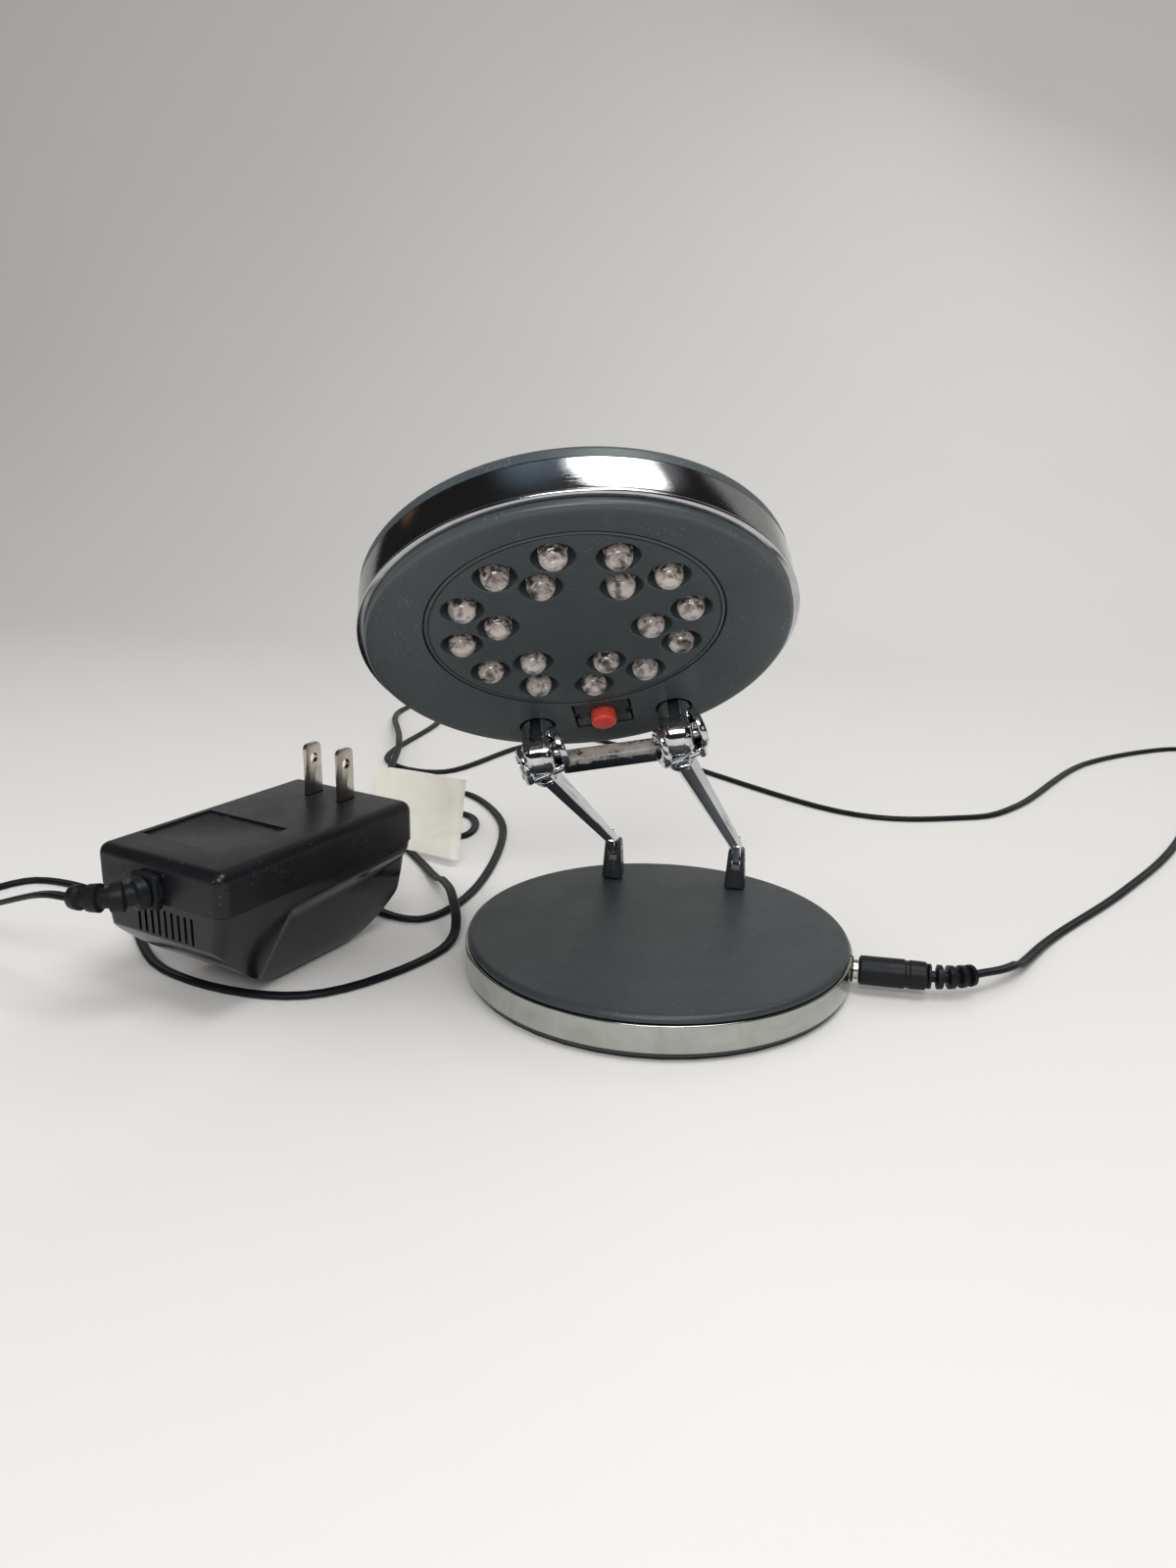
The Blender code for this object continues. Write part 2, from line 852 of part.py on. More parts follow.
def make_arm_fittings(hinge):
    cheek_x = knuckle_width / 2 + gap + cheek_thick / 2
    inner_face = hub_spacing / 2 - cheek_x - cheek_thick / 2
    bar_length = 2 * (inner_face - gap)
    bar_y = crossbar_drop * math.cos(arm_slant)
    bar_z = -crossbar_drop * math.sin(arm_slant)
    bar_mesh_place = (0, bar_y, bar_z)
    bar = block(
        "crossbar", (bar_length, crossbar_height, crossbar_depth), bar_mesh_place, chrome, hinge
    )
    bar.rotation_euler = (-arm_slant, 0, 0)
    soften(bar, crossbar_round)

    for side, sign in (("left", -1), ("right", 1)):
        inner = sign * (hub_spacing / 2 - cheek_x - cheek_thick / 2)
        outer = sign * (hub_spacing / 2 + cheek_x + cheek_thick / 2 - cheek_dish_depth + gap)
        length = abs(outer - inner)
        middle = (outer + inner) / 2
        shaft = rod(
            f"hub_pin_{side}", hub_pin_radius, length, (middle, 0, 0), "X", steel, hinge,
            sides=fine_round_steps,
        )
        cap = rod(
            f"hub_pin_cap_{side}", hub_pin_head_radius, hub_pin_head,
            (outer + sign * hub_pin_head / 2, 0, 0), "X", None, hinge, sides=fine_round_steps,
        )
        join(shaft, cap)


def make_head(hinge):
    reach = Matrix.Translation((-head_aside, -head_reach, head_drop))
    centre = make_frame("head_centre", hinge.matrix_world @ reach)
    face_edge = quarter_round(face_edge_radius - face_round, face_round, face_round, 0, -90, 2)
    face = turned(
        "head_face",
        [
            (0, face_thick),
            (head_skirt_inner, face_thick),
            (head_skirt_inner, face_wall_top),
            (head_skirt_radius, face_wall_top),
            (head_skirt_radius, face_thick),
            (face_edge_radius, face_thick),
            *face_edge,
            (0, 0),
        ],
        False,
        dark_plastic,
        centre,
    )
    bead_mid = head_band_start + bead_width / 2
    turned(
        "head_band",
        [
            (band_outer - head_band_wall, head_band_end),
            (band_outer, head_band_end),
            (band_outer, head_band_start + bead_width * 1.5),
            *quarter_round(band_outer, bead_mid, bead_proud, 60, -60),
            (band_outer - bead_proud, head_band_start),
            (band_outer - head_band_wall, head_band_start),
        ],
        True,
        chrome,
        centre,
    )
    crown_radius = shell_radius - shell_shoulder
    shoulder = quarter_round(crown_radius, shell_side_end, shell_shoulder, 60, 0)
    dome = []
    shoulder_height = shoulder[0][1]
    for reach_share, rise_share in shell_dome_shares:
        rise = shoulder_height + (shell_crown - shoulder_height) * rise_share
        dome.append((crown_radius * reach_share, rise))
    ceiling = [(radius, height - shell_wall) for radius, height in reversed(dome)]
    turned(
        "head_shell",
        [
            *dome,
            *shoulder,
            (shell_radius, shell_low),
            (head_skirt_radius, shell_low),
            (head_skirt_radius, shell_skirt_low),
            (head_skirt_inner, shell_skirt_low),
            (head_skirt_inner, shell_side_end - shell_wall / 2),
            *ceiling,
        ],
        False,
        dark_plastic,
        centre,
    )
    return centre, face


def led_places():
    for index in range(led_outer_count):
        angle = led_turn + index * math.tau / led_outer_count
        yield led_outer_circle * math.cos(angle), -led_outer_circle * math.sin(angle)
    for index in range(led_inner_count):
        angle = led_inner_turn + index * math.tau / led_inner_count
        yield led_inner_circle * math.cos(angle), -led_inner_circle * math.sin(angle)


def make_led_insert(centre, face):
    insert = make_frame("insert_centre", centre.matrix_world @ Matrix.Translation((0, -disc_offset, 0)))
    disc = turned(
        "led_disc",
        [
            (0, disc_thick),
            (disc_plug_radius, disc_thick),
            (disc_plug_radius, disc_flange),
            (disc_radius, disc_flange),
            (disc_radius, 0),
            (0, 0),
        ],
        False,
        dark_plastic,
        insert,
    )
    seat_hole = rod(
        "insert_hole", disc_plug_radius + gap, face_thick + 2 * cut_over, (0, 0, face_thick / 2),
        "Z", None, insert, sides=big_round_steps,
    )
    seat_depth = disc_flange + gap
    seat_length = seat_depth + cut_over
    seat = rod(
        "insert_seat", disc_radius + gap, seat_length, (0, 0, seat_depth - seat_length / 2),
        "Z", None, insert, sides=big_round_steps,
    )
    cut(face, seat_hole, seat)

    hole_length = disc_thick + 2 * gap
    for index, (x, y) in enumerate(led_places()):
        mesh = rod_mesh(
            f"led_hole_{index}", led_hole_front, led_hole_back, hole_length, fine_round_steps,
            Matrix.Identity(4),
        )
        hole = make_object(f"led_hole_{index}", mesh, None, insert, (x, y, disc_thick / 2))
        cut(disc, hole)
        dome_centre = led_tip + led_dome_radius
        dome = quarter_round(0, dome_centre, led_dome_radius, 0, -90)
        turned(
            f"led_{index + 1:02d}",
            [(0, board_low - gap), (led_dome_radius, board_low - gap), *dome[:-1], (0, led_tip)],
            False,
            clear_plastic,
            insert,
            (x, y, 0),
            fine_round_steps,
        )
    turned(
        "led_board",
        [
            (0, board_low + board_thick),
            (board_radius, board_low + board_thick),
            (board_radius, board_low),
            (0, board_low),
        ],
        False,
        board_green,
        insert,
    )


def make_switch(hinge, face):
    face_z = head_drop
    plate_place = (switch_x, switch_y, face_z + switch_plate_sink + switch_plate_thick / 2)
    plate = block(
        "switch_plate",
        (switch_plate_width, switch_plate_height, switch_plate_thick),
        plate_place,
        black_plastic,
        hinge,
    )
    window = block(
        "switch_window",
        (switch_plate_width + 2 * gap, switch_plate_height + 2 * gap, face_thick + 2 * cut_over),
        (switch_x, switch_y, face_z + face_thick / 2),
        None,
        hinge,
    )
    cut(face, window)
    for sign in (-1, 1):
        notch = block(
            f"switch_notch_{sign}",
            (2 * switch_notch_width, switch_notch_height, switch_plate_thick + cut_over),
            (switch_x + sign * switch_plate_width / 2, *plate_place[1:]),
            None,
            hinge,
        )
        cut(plate, notch)
    button_hole = rod(
        "button_hole", button_radius + gap, switch_plate_thick + cut_over, plate_place, "Z", None, hinge
    )
    cut(plate, button_hole)

    body_low = plate_place[2] + switch_plate_thick / 2 + gap
    body = block(
        "switch_body",
        (switch_body_width, switch_body_height, switch_body_depth),
        (switch_x, switch_y, body_low + switch_body_depth / 2),
        black_plastic,
        hinge,
    )
    # The button slides in a well in the body, with room for its travel.
    head_end = plate_place[2] + switch_plate_thick / 2
    well_depth = button_travel + gap
    well = rod(
        "button_well", button_radius + gap, well_depth + cut_over,
        (switch_x, switch_y, body_low + (well_depth - cut_over) / 2), "Z", None, hinge,
    )
    stem_end = body_low + button_stem_end - button_travel
    stem_room_top = stem_end + button_travel + gap
    stem_room = rod(
        "stem_room", button_stem_radius + gap, stem_room_top - body_low + cut_over,
        (switch_x, switch_y, (stem_room_top + body_low - cut_over) / 2), "Z", None, hinge,
        sides=fine_round_steps,
    )
    cut(body, well, stem_room)
    button_low = face_z - button_proud
    turned(
        "switch_button",
        [
            (0, stem_end),
            (button_stem_radius, stem_end),
            (button_stem_radius, head_end),
            (button_radius, head_end),
            *quarter_round(button_radius - face_round, button_low + face_round, face_round, 0, -90, 2),
            (0, button_low),
        ],
        False,
        red_plastic,
        hinge,
        (switch_x, switch_y, 0),
        small_round_steps,
    )


def make_brackets(hinge, face):
    flange_low = head_drop + face_thick + gap
    neck_top = flange_low + flange_thick / 2
    neck_width = knuckle_width - 2 * gap
    for side, sign in (("left", -1), ("right", 1)):
        x = sign * hub_spacing / 2
        bracket = rod(
            f"bracket_{side}", knuckle_radius, knuckle_width, (x, 0, 0), "X", chrome, hinge
        )
        neck = block(
            f"bracket_neck_{side}", (neck_width, neck_depth, neck_top), (x, 0, neck_top / 2),
            None, hinge,
        )
        flange_inner = x - sign * flange_inner_side
        flange_outer = x + sign * flange_outer_side
        flange_low_y = -flange_inner_reach
        flange_high_y = neck_depth / 2 - gap
        flange = block(
            f"bracket_flange_{side}",
            (abs(flange_outer - flange_inner), flange_high_y - flange_low_y, flange_thick),
            (
                (flange_outer + flange_inner) / 2,
                (flange_high_y + flange_low_y) / 2,
                flange_low + flange_thick / 2,
            ),
            None,
            hinge,
        )
        pin_bore = rod(
            f"knuckle_bore_{side}", hub_pin_radius + gap, knuckle_width + cut_over, (x, 0, 0), "X",
            None, hinge, sides=fine_round_steps,
        )
        slot_low = -knuckle_radius / 4
        slot_high = head_drop + face_thick / 2
        slot = block(
            f"bracket_slot_{side}",
            (bracket_slot_width, bracket_slot_depth + cut_over, slot_high - slot_low),
            (
                x,
                -neck_depth / 2 + (bracket_slot_depth - cut_over) / 2,
                (slot_high + slot_low) / 2,
            ),
            None,
            hinge,
        )
        join(bracket, neck, flange)
        cut(bracket, slot, pin_bore)
        window = block(
            f"bracket_window_{side}",
            (knuckle_width + 2 * gap, neck_depth + 2 * gap, face_thick + 2 * cut_over),
            (x, 0, head_drop + face_thick / 2),
            None,
            hinge,
        )
        cut(face, window)
        screw_x = (flange_inner + flange_outer) / 2
        head_low = flange_low + flange_thick + gap
        tip = flange_low - gap - bracket_screw_bite
        turned(
            f"bracket_screw_{side}",
            [
                (0, head_low + bracket_screw_head_height),
                (bracket_screw_head, head_low + bracket_screw_head_height),
                (bracket_screw_head, head_low),
                (bracket_screw_radius, head_low),
                (bracket_screw_radius, tip),
                (0, tip),
            ],
            False,
            steel,
            hinge,
            (screw_x, bracket_screw_y, 0),
            fine_round_steps,
        )
        bore_low = tip - gap / 2
        bore_high = head_low + cut_over
        bore = rod(
            f"bracket_bore_{side}", bracket_screw_radius + gap, bore_high - bore_low,
            (screw_x, bracket_screw_y, (bore_high + bore_low) / 2), "Z", None, hinge,
            sides=fine_round_steps,
        )
        cut(bracket, bore)
        cut(face, bore)


def make_plug():
    body = rod(
        "plug_body", plug_body_radius, plug_body_length,
        ((plug_body_low + plug_body_high) / 2, jack_y, jack_z), "X", black_plastic,
    )
    soften(body, plug_round)
    barrel_high = plug_body_low - gap
    barrel_low = barrel_high - plug_barrel_length + plug_stand_off
    barrel = rod(
        "plug_barrel", plug_barrel_radius, barrel_high - barrel_low,
        ((barrel_low + barrel_high) / 2, jack_y, jack_z), "X", nickel,
    )
    bore = rod(
        "plug_bore", plug_barrel_bore, barrel_high - barrel_low,
        ((barrel_low + barrel_high) / 2 - plug_stand_off, jack_y, jack_z), "X", None,
        sides=fine_round_steps,
    )
    cut(barrel, bore)
    start = Vector((plug_body_high + gap, jack_y, jack_z))
    relief_route = []
    for ahead, aside in plug_relief_shares:
        relief_route.append(start + plug_relief_length * Vector((ahead, aside, 0)))
    ribbed_relief("plug_relief", relief_route, plug_relief_root, plug_relief_tip, black_plastic)


def make_cord():
    path = smooth_path(cord_route, points_per_span)
    tube("cord", path, [cord_radius] * len(path), black_plastic, 2)


def adapter_matrix():
    return Matrix.Translation((adapter_x, adapter_y, 0)) @ Matrix.Rotation(adapter_turn, 4, "Z")


def hull_mesh():
    """The lower half: a side outline with a curved keel, drawn in from its top edge to the keel."""
    high = adapter_height - adapter_cap_depth - gap
    half = adapter_length / 2 - hull_inset
    outline = [(-half, high)]
    for step in range(hull_curve_points + 1):
        share = 1 - step / hull_curve_points
        y = hull_flat_front + (-half - hull_flat_front) * share
        outline.append((y, hull_front_rise * share * share))
    for step in range(hull_curve_points + 1):
        share = step / hull_curve_points
        y = hull_flat_back + (half - hull_flat_back) * share
        outline.append((y, hull_back_rise * share * share))
    outline.append((half, high))
    top_half = adapter_width / 2 - hull_inset
    keel_half = hull_keel_width / 2

    def build(shape):
        left = []
        right = []
        for y, z in outline:
            reach = keel_half + (top_half - keel_half) * math.sqrt(z / high)
            left.append(shape.verts.new((-reach, y, z)))
            right.append(shape.verts.new((reach, y, z)))
        shape.faces.new(left)
        shape.faces.new(list(reversed(right)))
        count = len(outline)
        for index in range(count):
            follow = (index + 1) % count
            shape.faces.new((left[follow], left[index], right[index], right[follow]))
        bmesh.ops.recalc_face_normals(shape, faces=shape.faces)

    return mesh_from("adapter_hull", build)


def cap_mesh():
    """The upper half: a block with round corners and a round top edge, sharp at the parting line."""
    def build(shape):
        bmesh.ops.create_cube(shape, size=1)
        size = (adapter_width, adapter_length, adapter_cap_depth)
        bmesh.ops.scale(shape, vec=size, verts=shape.verts)
        kept = [edge for edge in shape.edges if max(vert.co.z for vert in edge.verts) > 0]
        bmesh.ops.bevel(
            shape, geom=kept, offset=adapter_corner, segments=adapter_corner_steps, profile=0.5,
            affect="EDGES",
        )

    return mesh_from("adapter_cap", build)


def make_adapter():
    seat = make_frame("adapter_seat", adapter_matrix())
    cap_low = adapter_height - adapter_cap_depth
    cap = make_object(
        "adapter_cap", cap_mesh(), black_plastic, seat, (0, 0, cap_low + adapter_cap_depth / 2)
    )
    cap_room = block(
        "cap_room",
        (
            adapter_width - 2 * adapter_wall,
            adapter_length - 2 * adapter_wall,
            adapter_cap_depth - adapter_wall + cut_over,
        ),
        (0, 0, cap_low + (adapter_cap_depth - adapter_wall - cut_over) / 2),
        None,
        seat,
    )
    plate_sink = block(
        "nameplate_sink", (nameplate_width, nameplate_length, 2 * nameplate_depth),
        (nameplate_x, nameplate_y, adapter_height), None, seat,
    )
    cut(cap, cap_room, plate_sink)

    hull = make_object("adapter_hull", hull_mesh(), black_plastic, seat)
    hull_high = adapter_height - adapter_cap_depth - gap
    hull_room = block(
        "hull_room",
        (hull_cavity_width, hull_cavity_length, hull_high - hull_cavity_floor + cut_over),
        (0, 0, (hull_high + hull_cavity_floor + cut_over) / 2),
        None,
        seat,
    )
    cut(hull, hull_room)

    for side, sign in (("left", -1), ("right", 1)):
        x = sign * blade_spacing / 2
        low = adapter_height - blade_root
        high = adapter_height + blade_height
        blade = block(
            f"blade_{side}", (blade_thick, blade_width, high - low), (x, blade_y, (low + high) / 2),
            nickel, seat,
        )
        soften(blade, blade_thick / 4, 1)
        eye = rod(
            f"blade_eye_{side}", blade_hole_radius, 2 * blade_thick,
            (x, blade_y, high - blade_hole_drop), "X", None, seat, sides=fine_round_steps,
        )
        cut(blade, eye)
        slot = block(
            f"blade_slot_{side}",
            (blade_thick + 2 * gap, blade_width + 2 * gap, adapter_wall + 2 * cut_over),
            (x, blade_y, adapter_height - adapter_wall / 2),
            None,
            seat,
        )
        cut(cap, slot)

    core_mid = core_low + core_height / 2
    core_size = (core_width, core_length, core_height)
    coil_size = (coil_width, coil_length, coil_height)
    core = block("transformer", core_size, (0, 0, core_mid), steel, seat)
    join(core, block("transformer_coil", coil_size, (0, 0, core_mid), None, seat))

    # The relief leaves the end face square to it, and then bends aside.
    start = Vector((adapter_relief_x, -adapter_length / 2 - gap, adapter_relief_z))
    relief_route = []
    for aside, out, down in adapter_relief_shares:
        point = start - adapter_relief_reach * Vector((aside, out, down))
        relief_route.append(adapter_matrix() @ point)
    ribbed_relief(
        "adapter_relief", relief_route, adapter_relief_root, adapter_relief_tip, black_plastic
    )


def make_tag():
    foot_right = Vector((tag_right_x, tag_right_y, tag_right_z))
    foot_left = Vector((tag_left_x, tag_left_y, tag_left_z))
    width = foot_left - foot_right
    across = width.normalized()
    back = Vector((-across.y, across.x, 0)).normalized()
    if back.y < 0:
        back = -back
    rise = (Vector((0, 0, tag_height)) + back * tag_lean).normalized()
    rise = (rise - across * rise.dot(across)).normalized()
    normal = across.cross(rise)
    turn = Matrix((across, rise, normal)).transposed().to_4x4()
    centre = (foot_left + foot_right) / 2 + rise * tag_height / 2
    tag = block("cord_tag", (width.length, tag_height, tag_thick), (0, 0, 0), paper)
    tag.matrix_world = Matrix.Translation(centre) @ turn


clear_scene()
parts = new_collection("led_desk_lamp")
cutters = new_collection("cutters")
dark_plastic = finish("dark_plastic", (0.070, 0.082, 0.085), 0.42, 0)
black_plastic = finish("black_plastic", (0.012, 0.012, 0.014), 0.45, 0)
red_plastic = finish("red_plastic", (0.72, 0.055, 0.035), 0.38, 0)
clear_plastic = finish("clear_plastic", (0.82, 0.82, 0.80), 0.08, 0, 0.5)
board_green = finish("board", (0.05, 0.16, 0.08), 0.6, 0)
chrome = finish("chrome", (0.62, 0.62, 0.60), 0.12, 1)
nickel = finish("nickel", (0.55, 0.52, 0.46), 0.28, 1)
steel = finish("steel", (0.45, 0.45, 0.45), 0.35, 1)
black_metal = finish("black_metal", (0.02, 0.022, 0.024), 0.4, 0)
paper = finish("paper", (0.80, 0.78, 0.70), 0.7, 0)

base_cover, base_plate = make_base()
make_base_screws()
make_jack(base_cover, base_plate)
make_lugs(base_cover)
for arm_side, arm_sign in (("left", -1), ("right", 1)):
    make_arm(arm_side, arm_sign)
head_hinge = make_frame("head_hinge", hinge_matrix())
bpy.context.view_layer.update()
make_arm_fittings(head_hinge)
head_middle, head_front = make_head(head_hinge)
bpy.context.view_layer.update()
make_led_insert(head_middle, head_front)
make_switch(head_hinge, head_front)
make_brackets(head_hinge, head_front)
make_plug()
make_cord()
make_adapter()
make_tag()
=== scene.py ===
import math

import bpy
from mathutils import Matrix, Vector


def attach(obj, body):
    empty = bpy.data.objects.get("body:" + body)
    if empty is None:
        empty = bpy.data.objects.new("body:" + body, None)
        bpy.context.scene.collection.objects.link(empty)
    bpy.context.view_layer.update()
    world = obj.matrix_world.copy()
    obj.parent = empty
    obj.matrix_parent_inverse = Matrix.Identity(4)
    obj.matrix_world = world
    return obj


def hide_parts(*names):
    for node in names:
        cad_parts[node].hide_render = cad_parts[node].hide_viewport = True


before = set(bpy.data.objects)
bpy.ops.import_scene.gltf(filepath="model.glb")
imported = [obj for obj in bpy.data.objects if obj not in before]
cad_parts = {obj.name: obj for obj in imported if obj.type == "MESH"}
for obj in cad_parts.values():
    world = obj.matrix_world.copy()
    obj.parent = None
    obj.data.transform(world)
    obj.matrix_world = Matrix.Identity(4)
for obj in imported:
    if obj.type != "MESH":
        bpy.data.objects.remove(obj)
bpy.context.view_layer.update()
mm = 0.001


def millimetres(**sizes):
    return {name: size * mm for name, size in sizes.items()}


# The camera stands in front of the lamp, a little above the head
cameraSettings = {
    "place": (0.0365, -0.3108, 0.1471), "forward": (-0.175, 0.943, -0.284), "up": (-0.071, 0.272, 0.960),
    "lens": 27, "sensor": 36, "clipStart": 0.01,
}

# Sizes that several pieces share
base = millimetres(
    radius=55, top=12, bandLow=2.2, bandHigh=9.9, plateRadius=54.5, plateLow=1.1, coverRadius=54.3,
    coverLow=10.2,
)
hinge = {
    "centre": (-16.8 * mm, 6.4 * mm, 63.4 * mm), "yaw": 7.7, "roll": 10.1, "tilt": 41.8,
    **millimetres(hubSpacing=39.4, reach=39.4, aside=1.2, drop=9.1),
}
lug = millimetres(spacing=38.8, y=37.6, height=12.9, pinZ=21.9)
jack = millimetres(y=-2, z=6, mouth=55.3)
adapter = {
    "place": (-110 * mm, -19.4 * mm, 0), "turn": -19.5,
    **millimetres(width=46.5, length=76, height=42, capDepth=11.9),
}
headSettings = millimetres(
    edgeRadius=54.6, edgeRound=1.3, faceThick=2.4, skirtOut=54.3, skirtIn=52.5, skirtEnd=8.0, bandOut=56.0,
    bandIn=54.6, bandStart=2.5, bandEnd=12.6, beadRound=0.62, shellRadius=55.7, shellLow=12.9, shellSide=14.8,
    shoulder=1.6, crown=18.4, shellWall=1.8, discY=-8.4, discHole=35.9, discSeat=37.95, bracketHole=5.25,
)


# Everyday modelling steps

def deselectAll():
    if bpy.context.mode != "OBJECT":
        bpy.ops.object.mode_set(mode="OBJECT")
    bpy.ops.object.select_all(action="DESELECT")


def pick(piece):
    deselectAll()
    piece.select_set(True)
    bpy.context.view_layer.objects.active = piece


def editing(piece):
    pick(piece)
    bpy.ops.object.mode_set(mode="EDIT")
    bpy.ops.mesh.select_all(action="SELECT")


def doneEditing():
    bpy.ops.object.mode_set(mode="OBJECT")


def named(name):
    piece = bpy.context.object
    piece.name = name
    piece.data.name = name
    return piece


def applyAll(piece):
    pick(piece)
    for modifier in list(piece.modifiers):
        bpy.ops.object.modifier_apply(modifier=modifier.name)
    return piece


def fixNormals(piece):
    # points within two micrometres of each other become one
    editing(piece)
    bpy.ops.mesh.remove_doubles(threshold=0.002 * mm)
    bpy.ops.mesh.normals_make_consistent(inside=False)
    doneEditing()
    return piece


def settle(piece, matrix=None):
    # put the piece where it belongs and leave its object at the origin
    pick(piece)
    if matrix is not None:
        piece.matrix_world = matrix @ piece.matrix_world
    bpy.ops.object.transform_apply(location=True, rotation=True, scale=True)
    return piece


def smooth(piece, angle=35):
    pick(piece)
    bpy.ops.object.shade_smooth_by_angle(angle=math.radians(angle))
    return piece


def bevelEdges(piece, width, segments=3, angle=35):
    bevel = piece.modifiers.new("softEdges", "BEVEL")
    bevel.width = width
    bevel.segments = segments
    bevel.limit_method = "ANGLE"
    bevel.angle_limit = math.radians(angle)
    bevel.harden_normals = False
    return applyAll(piece)


def bevelChosen(piece, width, segments, chosen):
    # only the edges whose two ends pass the test are bevelled
    weight = piece.data.attributes.new("bevel_weight_edge", "FLOAT", "EDGE")
    for edge in piece.data.edges:
        ends = [piece.data.vertices[index].co for index in edge.vertices]
        weight.data[edge.index].value = 1.0 if chosen(*ends) else 0.0
    bevel = piece.modifiers.new("corners", "BEVEL")
    bevel.limit_method = "WEIGHT"
    bevel.width = width
    bevel.segments = segments
    return applyAll(piece)


def boolean(piece, other, operation="DIFFERENCE"):
    modifier = piece.modifiers.new("boolean", "BOOLEAN")
    modifier.operation = operation
    modifier.solver = "EXACT"
    modifier.object = other
    applyAll(piece)
    bpy.data.objects.remove(other, do_unlink=True)
    return piece


def joined(pieces, name):
    deselectAll()
    for piece in pieces:
        piece.select_set(True)
    bpy.context.view_layer.objects.active = pieces[0]
    bpy.ops.object.join()
    return named(name)


def duplicate(piece, name, move=(0, 0, 0)):
    pick(piece)
    bpy.ops.object.duplicate()
    copy = named(name)
    copy.location = Vector(copy.location) + Vector(move)
    return copy


def addBlock(name, size, place, bevel=0.0, segments=3):
    deselectAll()
    bpy.ops.mesh.primitive_cube_add(size=1, location=place)
    piece = named(name)
    piece.scale = size
    settle(piece)
    if bevel:
        bevelEdges(piece, bevel, segments)
    return piece


def addRod(name, radius, length, place, axis="Z", sides=48, topRadius=None, bevel=0.0, segments=3):
    deselectAll()
    bpy.ops.mesh.primitive_cone_add(
        vertices=sides, radius1=radius, radius2=radius if topRadius is None else topRadius,
        depth=length, location=place, rotation=(0, math.pi / 2 if axis == "X" else 0, 0),
    )
    piece = named(name)
    settle(piece)
    if bevel:
        bevelEdges(piece, bevel, segments)
    return piece


def turnedPiece(name, profile, steps=160, closed=False):
    # a ring is extruded from station to station of the profile, then capped or bridged
    deselectAll()
    radius, height = profile[0]
    bpy.ops.mesh.primitive_circle_add(vertices=steps, radius=radius, location=(0, 0, height))
    piece = named(name)
    settle(piece)
    editing(piece)
    bpy.ops.mesh.select_mode(type="VERT")
    bpy.ops.mesh.select_all(action="SELECT")
    if not closed:
        bpy.ops.mesh.edge_face_add()
        bpy.ops.mesh.select_all(action="SELECT")
    for nextRadius, nextHeight in profile[1:]:
        bpy.ops.mesh.extrude_region_move(
            TRANSFORM_OT_translate={"value": (0, 0, nextHeight - height)}
        )
        share = nextRadius / radius
        bpy.ops.transform.resize(value=(share, share, 1), center_override=(0, 0, nextHeight))
        radius, height = nextRadius, nextHeight
    if closed:
        bpy.ops.mesh.select_mode(type="VERT")
        doneEditing()
        for vertex in list(piece.data.vertices)[:steps]:
            vertex.select = True
        bpy.ops.object.mode_set(mode="EDIT")
        bpy.ops.mesh.select_mode(type="EDGE")
        bpy.ops.mesh.bridge_edge_loops()
    doneEditing()
    return fixNormals(piece)


def capBothEnds(piece):
    # the small circles left at the axis are closed
    editing(piece)
    bpy.ops.mesh.select_all(action="DESELECT")
    bpy.ops.mesh.select_mode(type="EDGE")
    bpy.ops.mesh.select_non_manifold()
    bpy.ops.mesh.fill_holes(sides=0)
    bpy.ops.mesh.select_all(action="SELECT")
    bpy.ops.mesh.normals_make_consistent(inside=False)
    doneEditing()
    return piece


def arcPoints(centre, radius, start, end, count=6):
    points = []
    for step in range(count + 1):
        angle = math.radians(start + (end - start) * step / count)
        points.append((centre[0] + radius * math.cos(angle), centre[1] + radius * math.sin(angle)))
    return points


# Shader groups that several finishes share

def newGroup(name, inputs, outputs):
    # an input without a value carries a place
    group = bpy.data.node_groups.new(name, "ShaderNodeTree")
    for label, value in inputs:
        kind = "NodeSocketVector" if value is None else "NodeSocketFloat"
        socket = group.interface.new_socket(name=label, in_out="INPUT", socket_type=kind)
        if value is not None:
            socket.default_value = value
    for label in outputs:
        kind = "NodeSocketVector" if label == "Normal" else "NodeSocketFloat"
        group.interface.new_socket(name=label, in_out="OUTPUT", socket_type=kind)
    return group, group.nodes.new("NodeGroupInput").outputs, group.nodes.new("NodeGroupOutput").inputs


def fill(socket, value):
    # a socket takes a link, a colour or a plain value
    if isinstance(value, bpy.types.NodeSocket):
        socket.id_data.links.new(value, socket)
    elif socket.type == "RGBA":
        socket.default_value = (*value, 1)
    else:
        socket.default_value = value


def dress(shader, values):
    for label, value in values.items():
        fill(shader[label], value)


def addNode(tree, kind, **values):
    node = tree.nodes.new(kind)
    for key, value in values.items():
        if key in node.inputs:
            fill(node.inputs[key], value)
        else:
            setattr(node, key, value)
    return node


def mathNode(tree, operation, *values):
    node = addNode(tree, "ShaderNodeMath", operation=operation)
    for socket, value in zip(node.inputs, values):
        fill(socket, value)
    return node.outputs[0]


def vectorNode(tree, operation, *values):
    node = addNode(tree, "ShaderNodeVectorMath", operation=operation)
    for socket, value in zip(node.inputs, values):
        fill(socket, value)
    return node.outputs


def noise(tree, place, **values):
    return addNode(tree, "ShaderNodeTexNoise", Vector=place, **values).outputs["Fac"]


def mapped(tree, value, low, high):
    ramp = addNode(tree, "ShaderNodeMapRange", Value=value)
    fill(ramp.inputs["From Min"], low)
    fill(ramp.inputs["From Max"], high)
    return ramp.outputs["Result"]


def bumped(tree, height, strength, distance):
    bump = addNode(tree, "ShaderNodeBump", Height=height, Strength=strength, Distance=distance)
    return bump.outputs["Normal"]


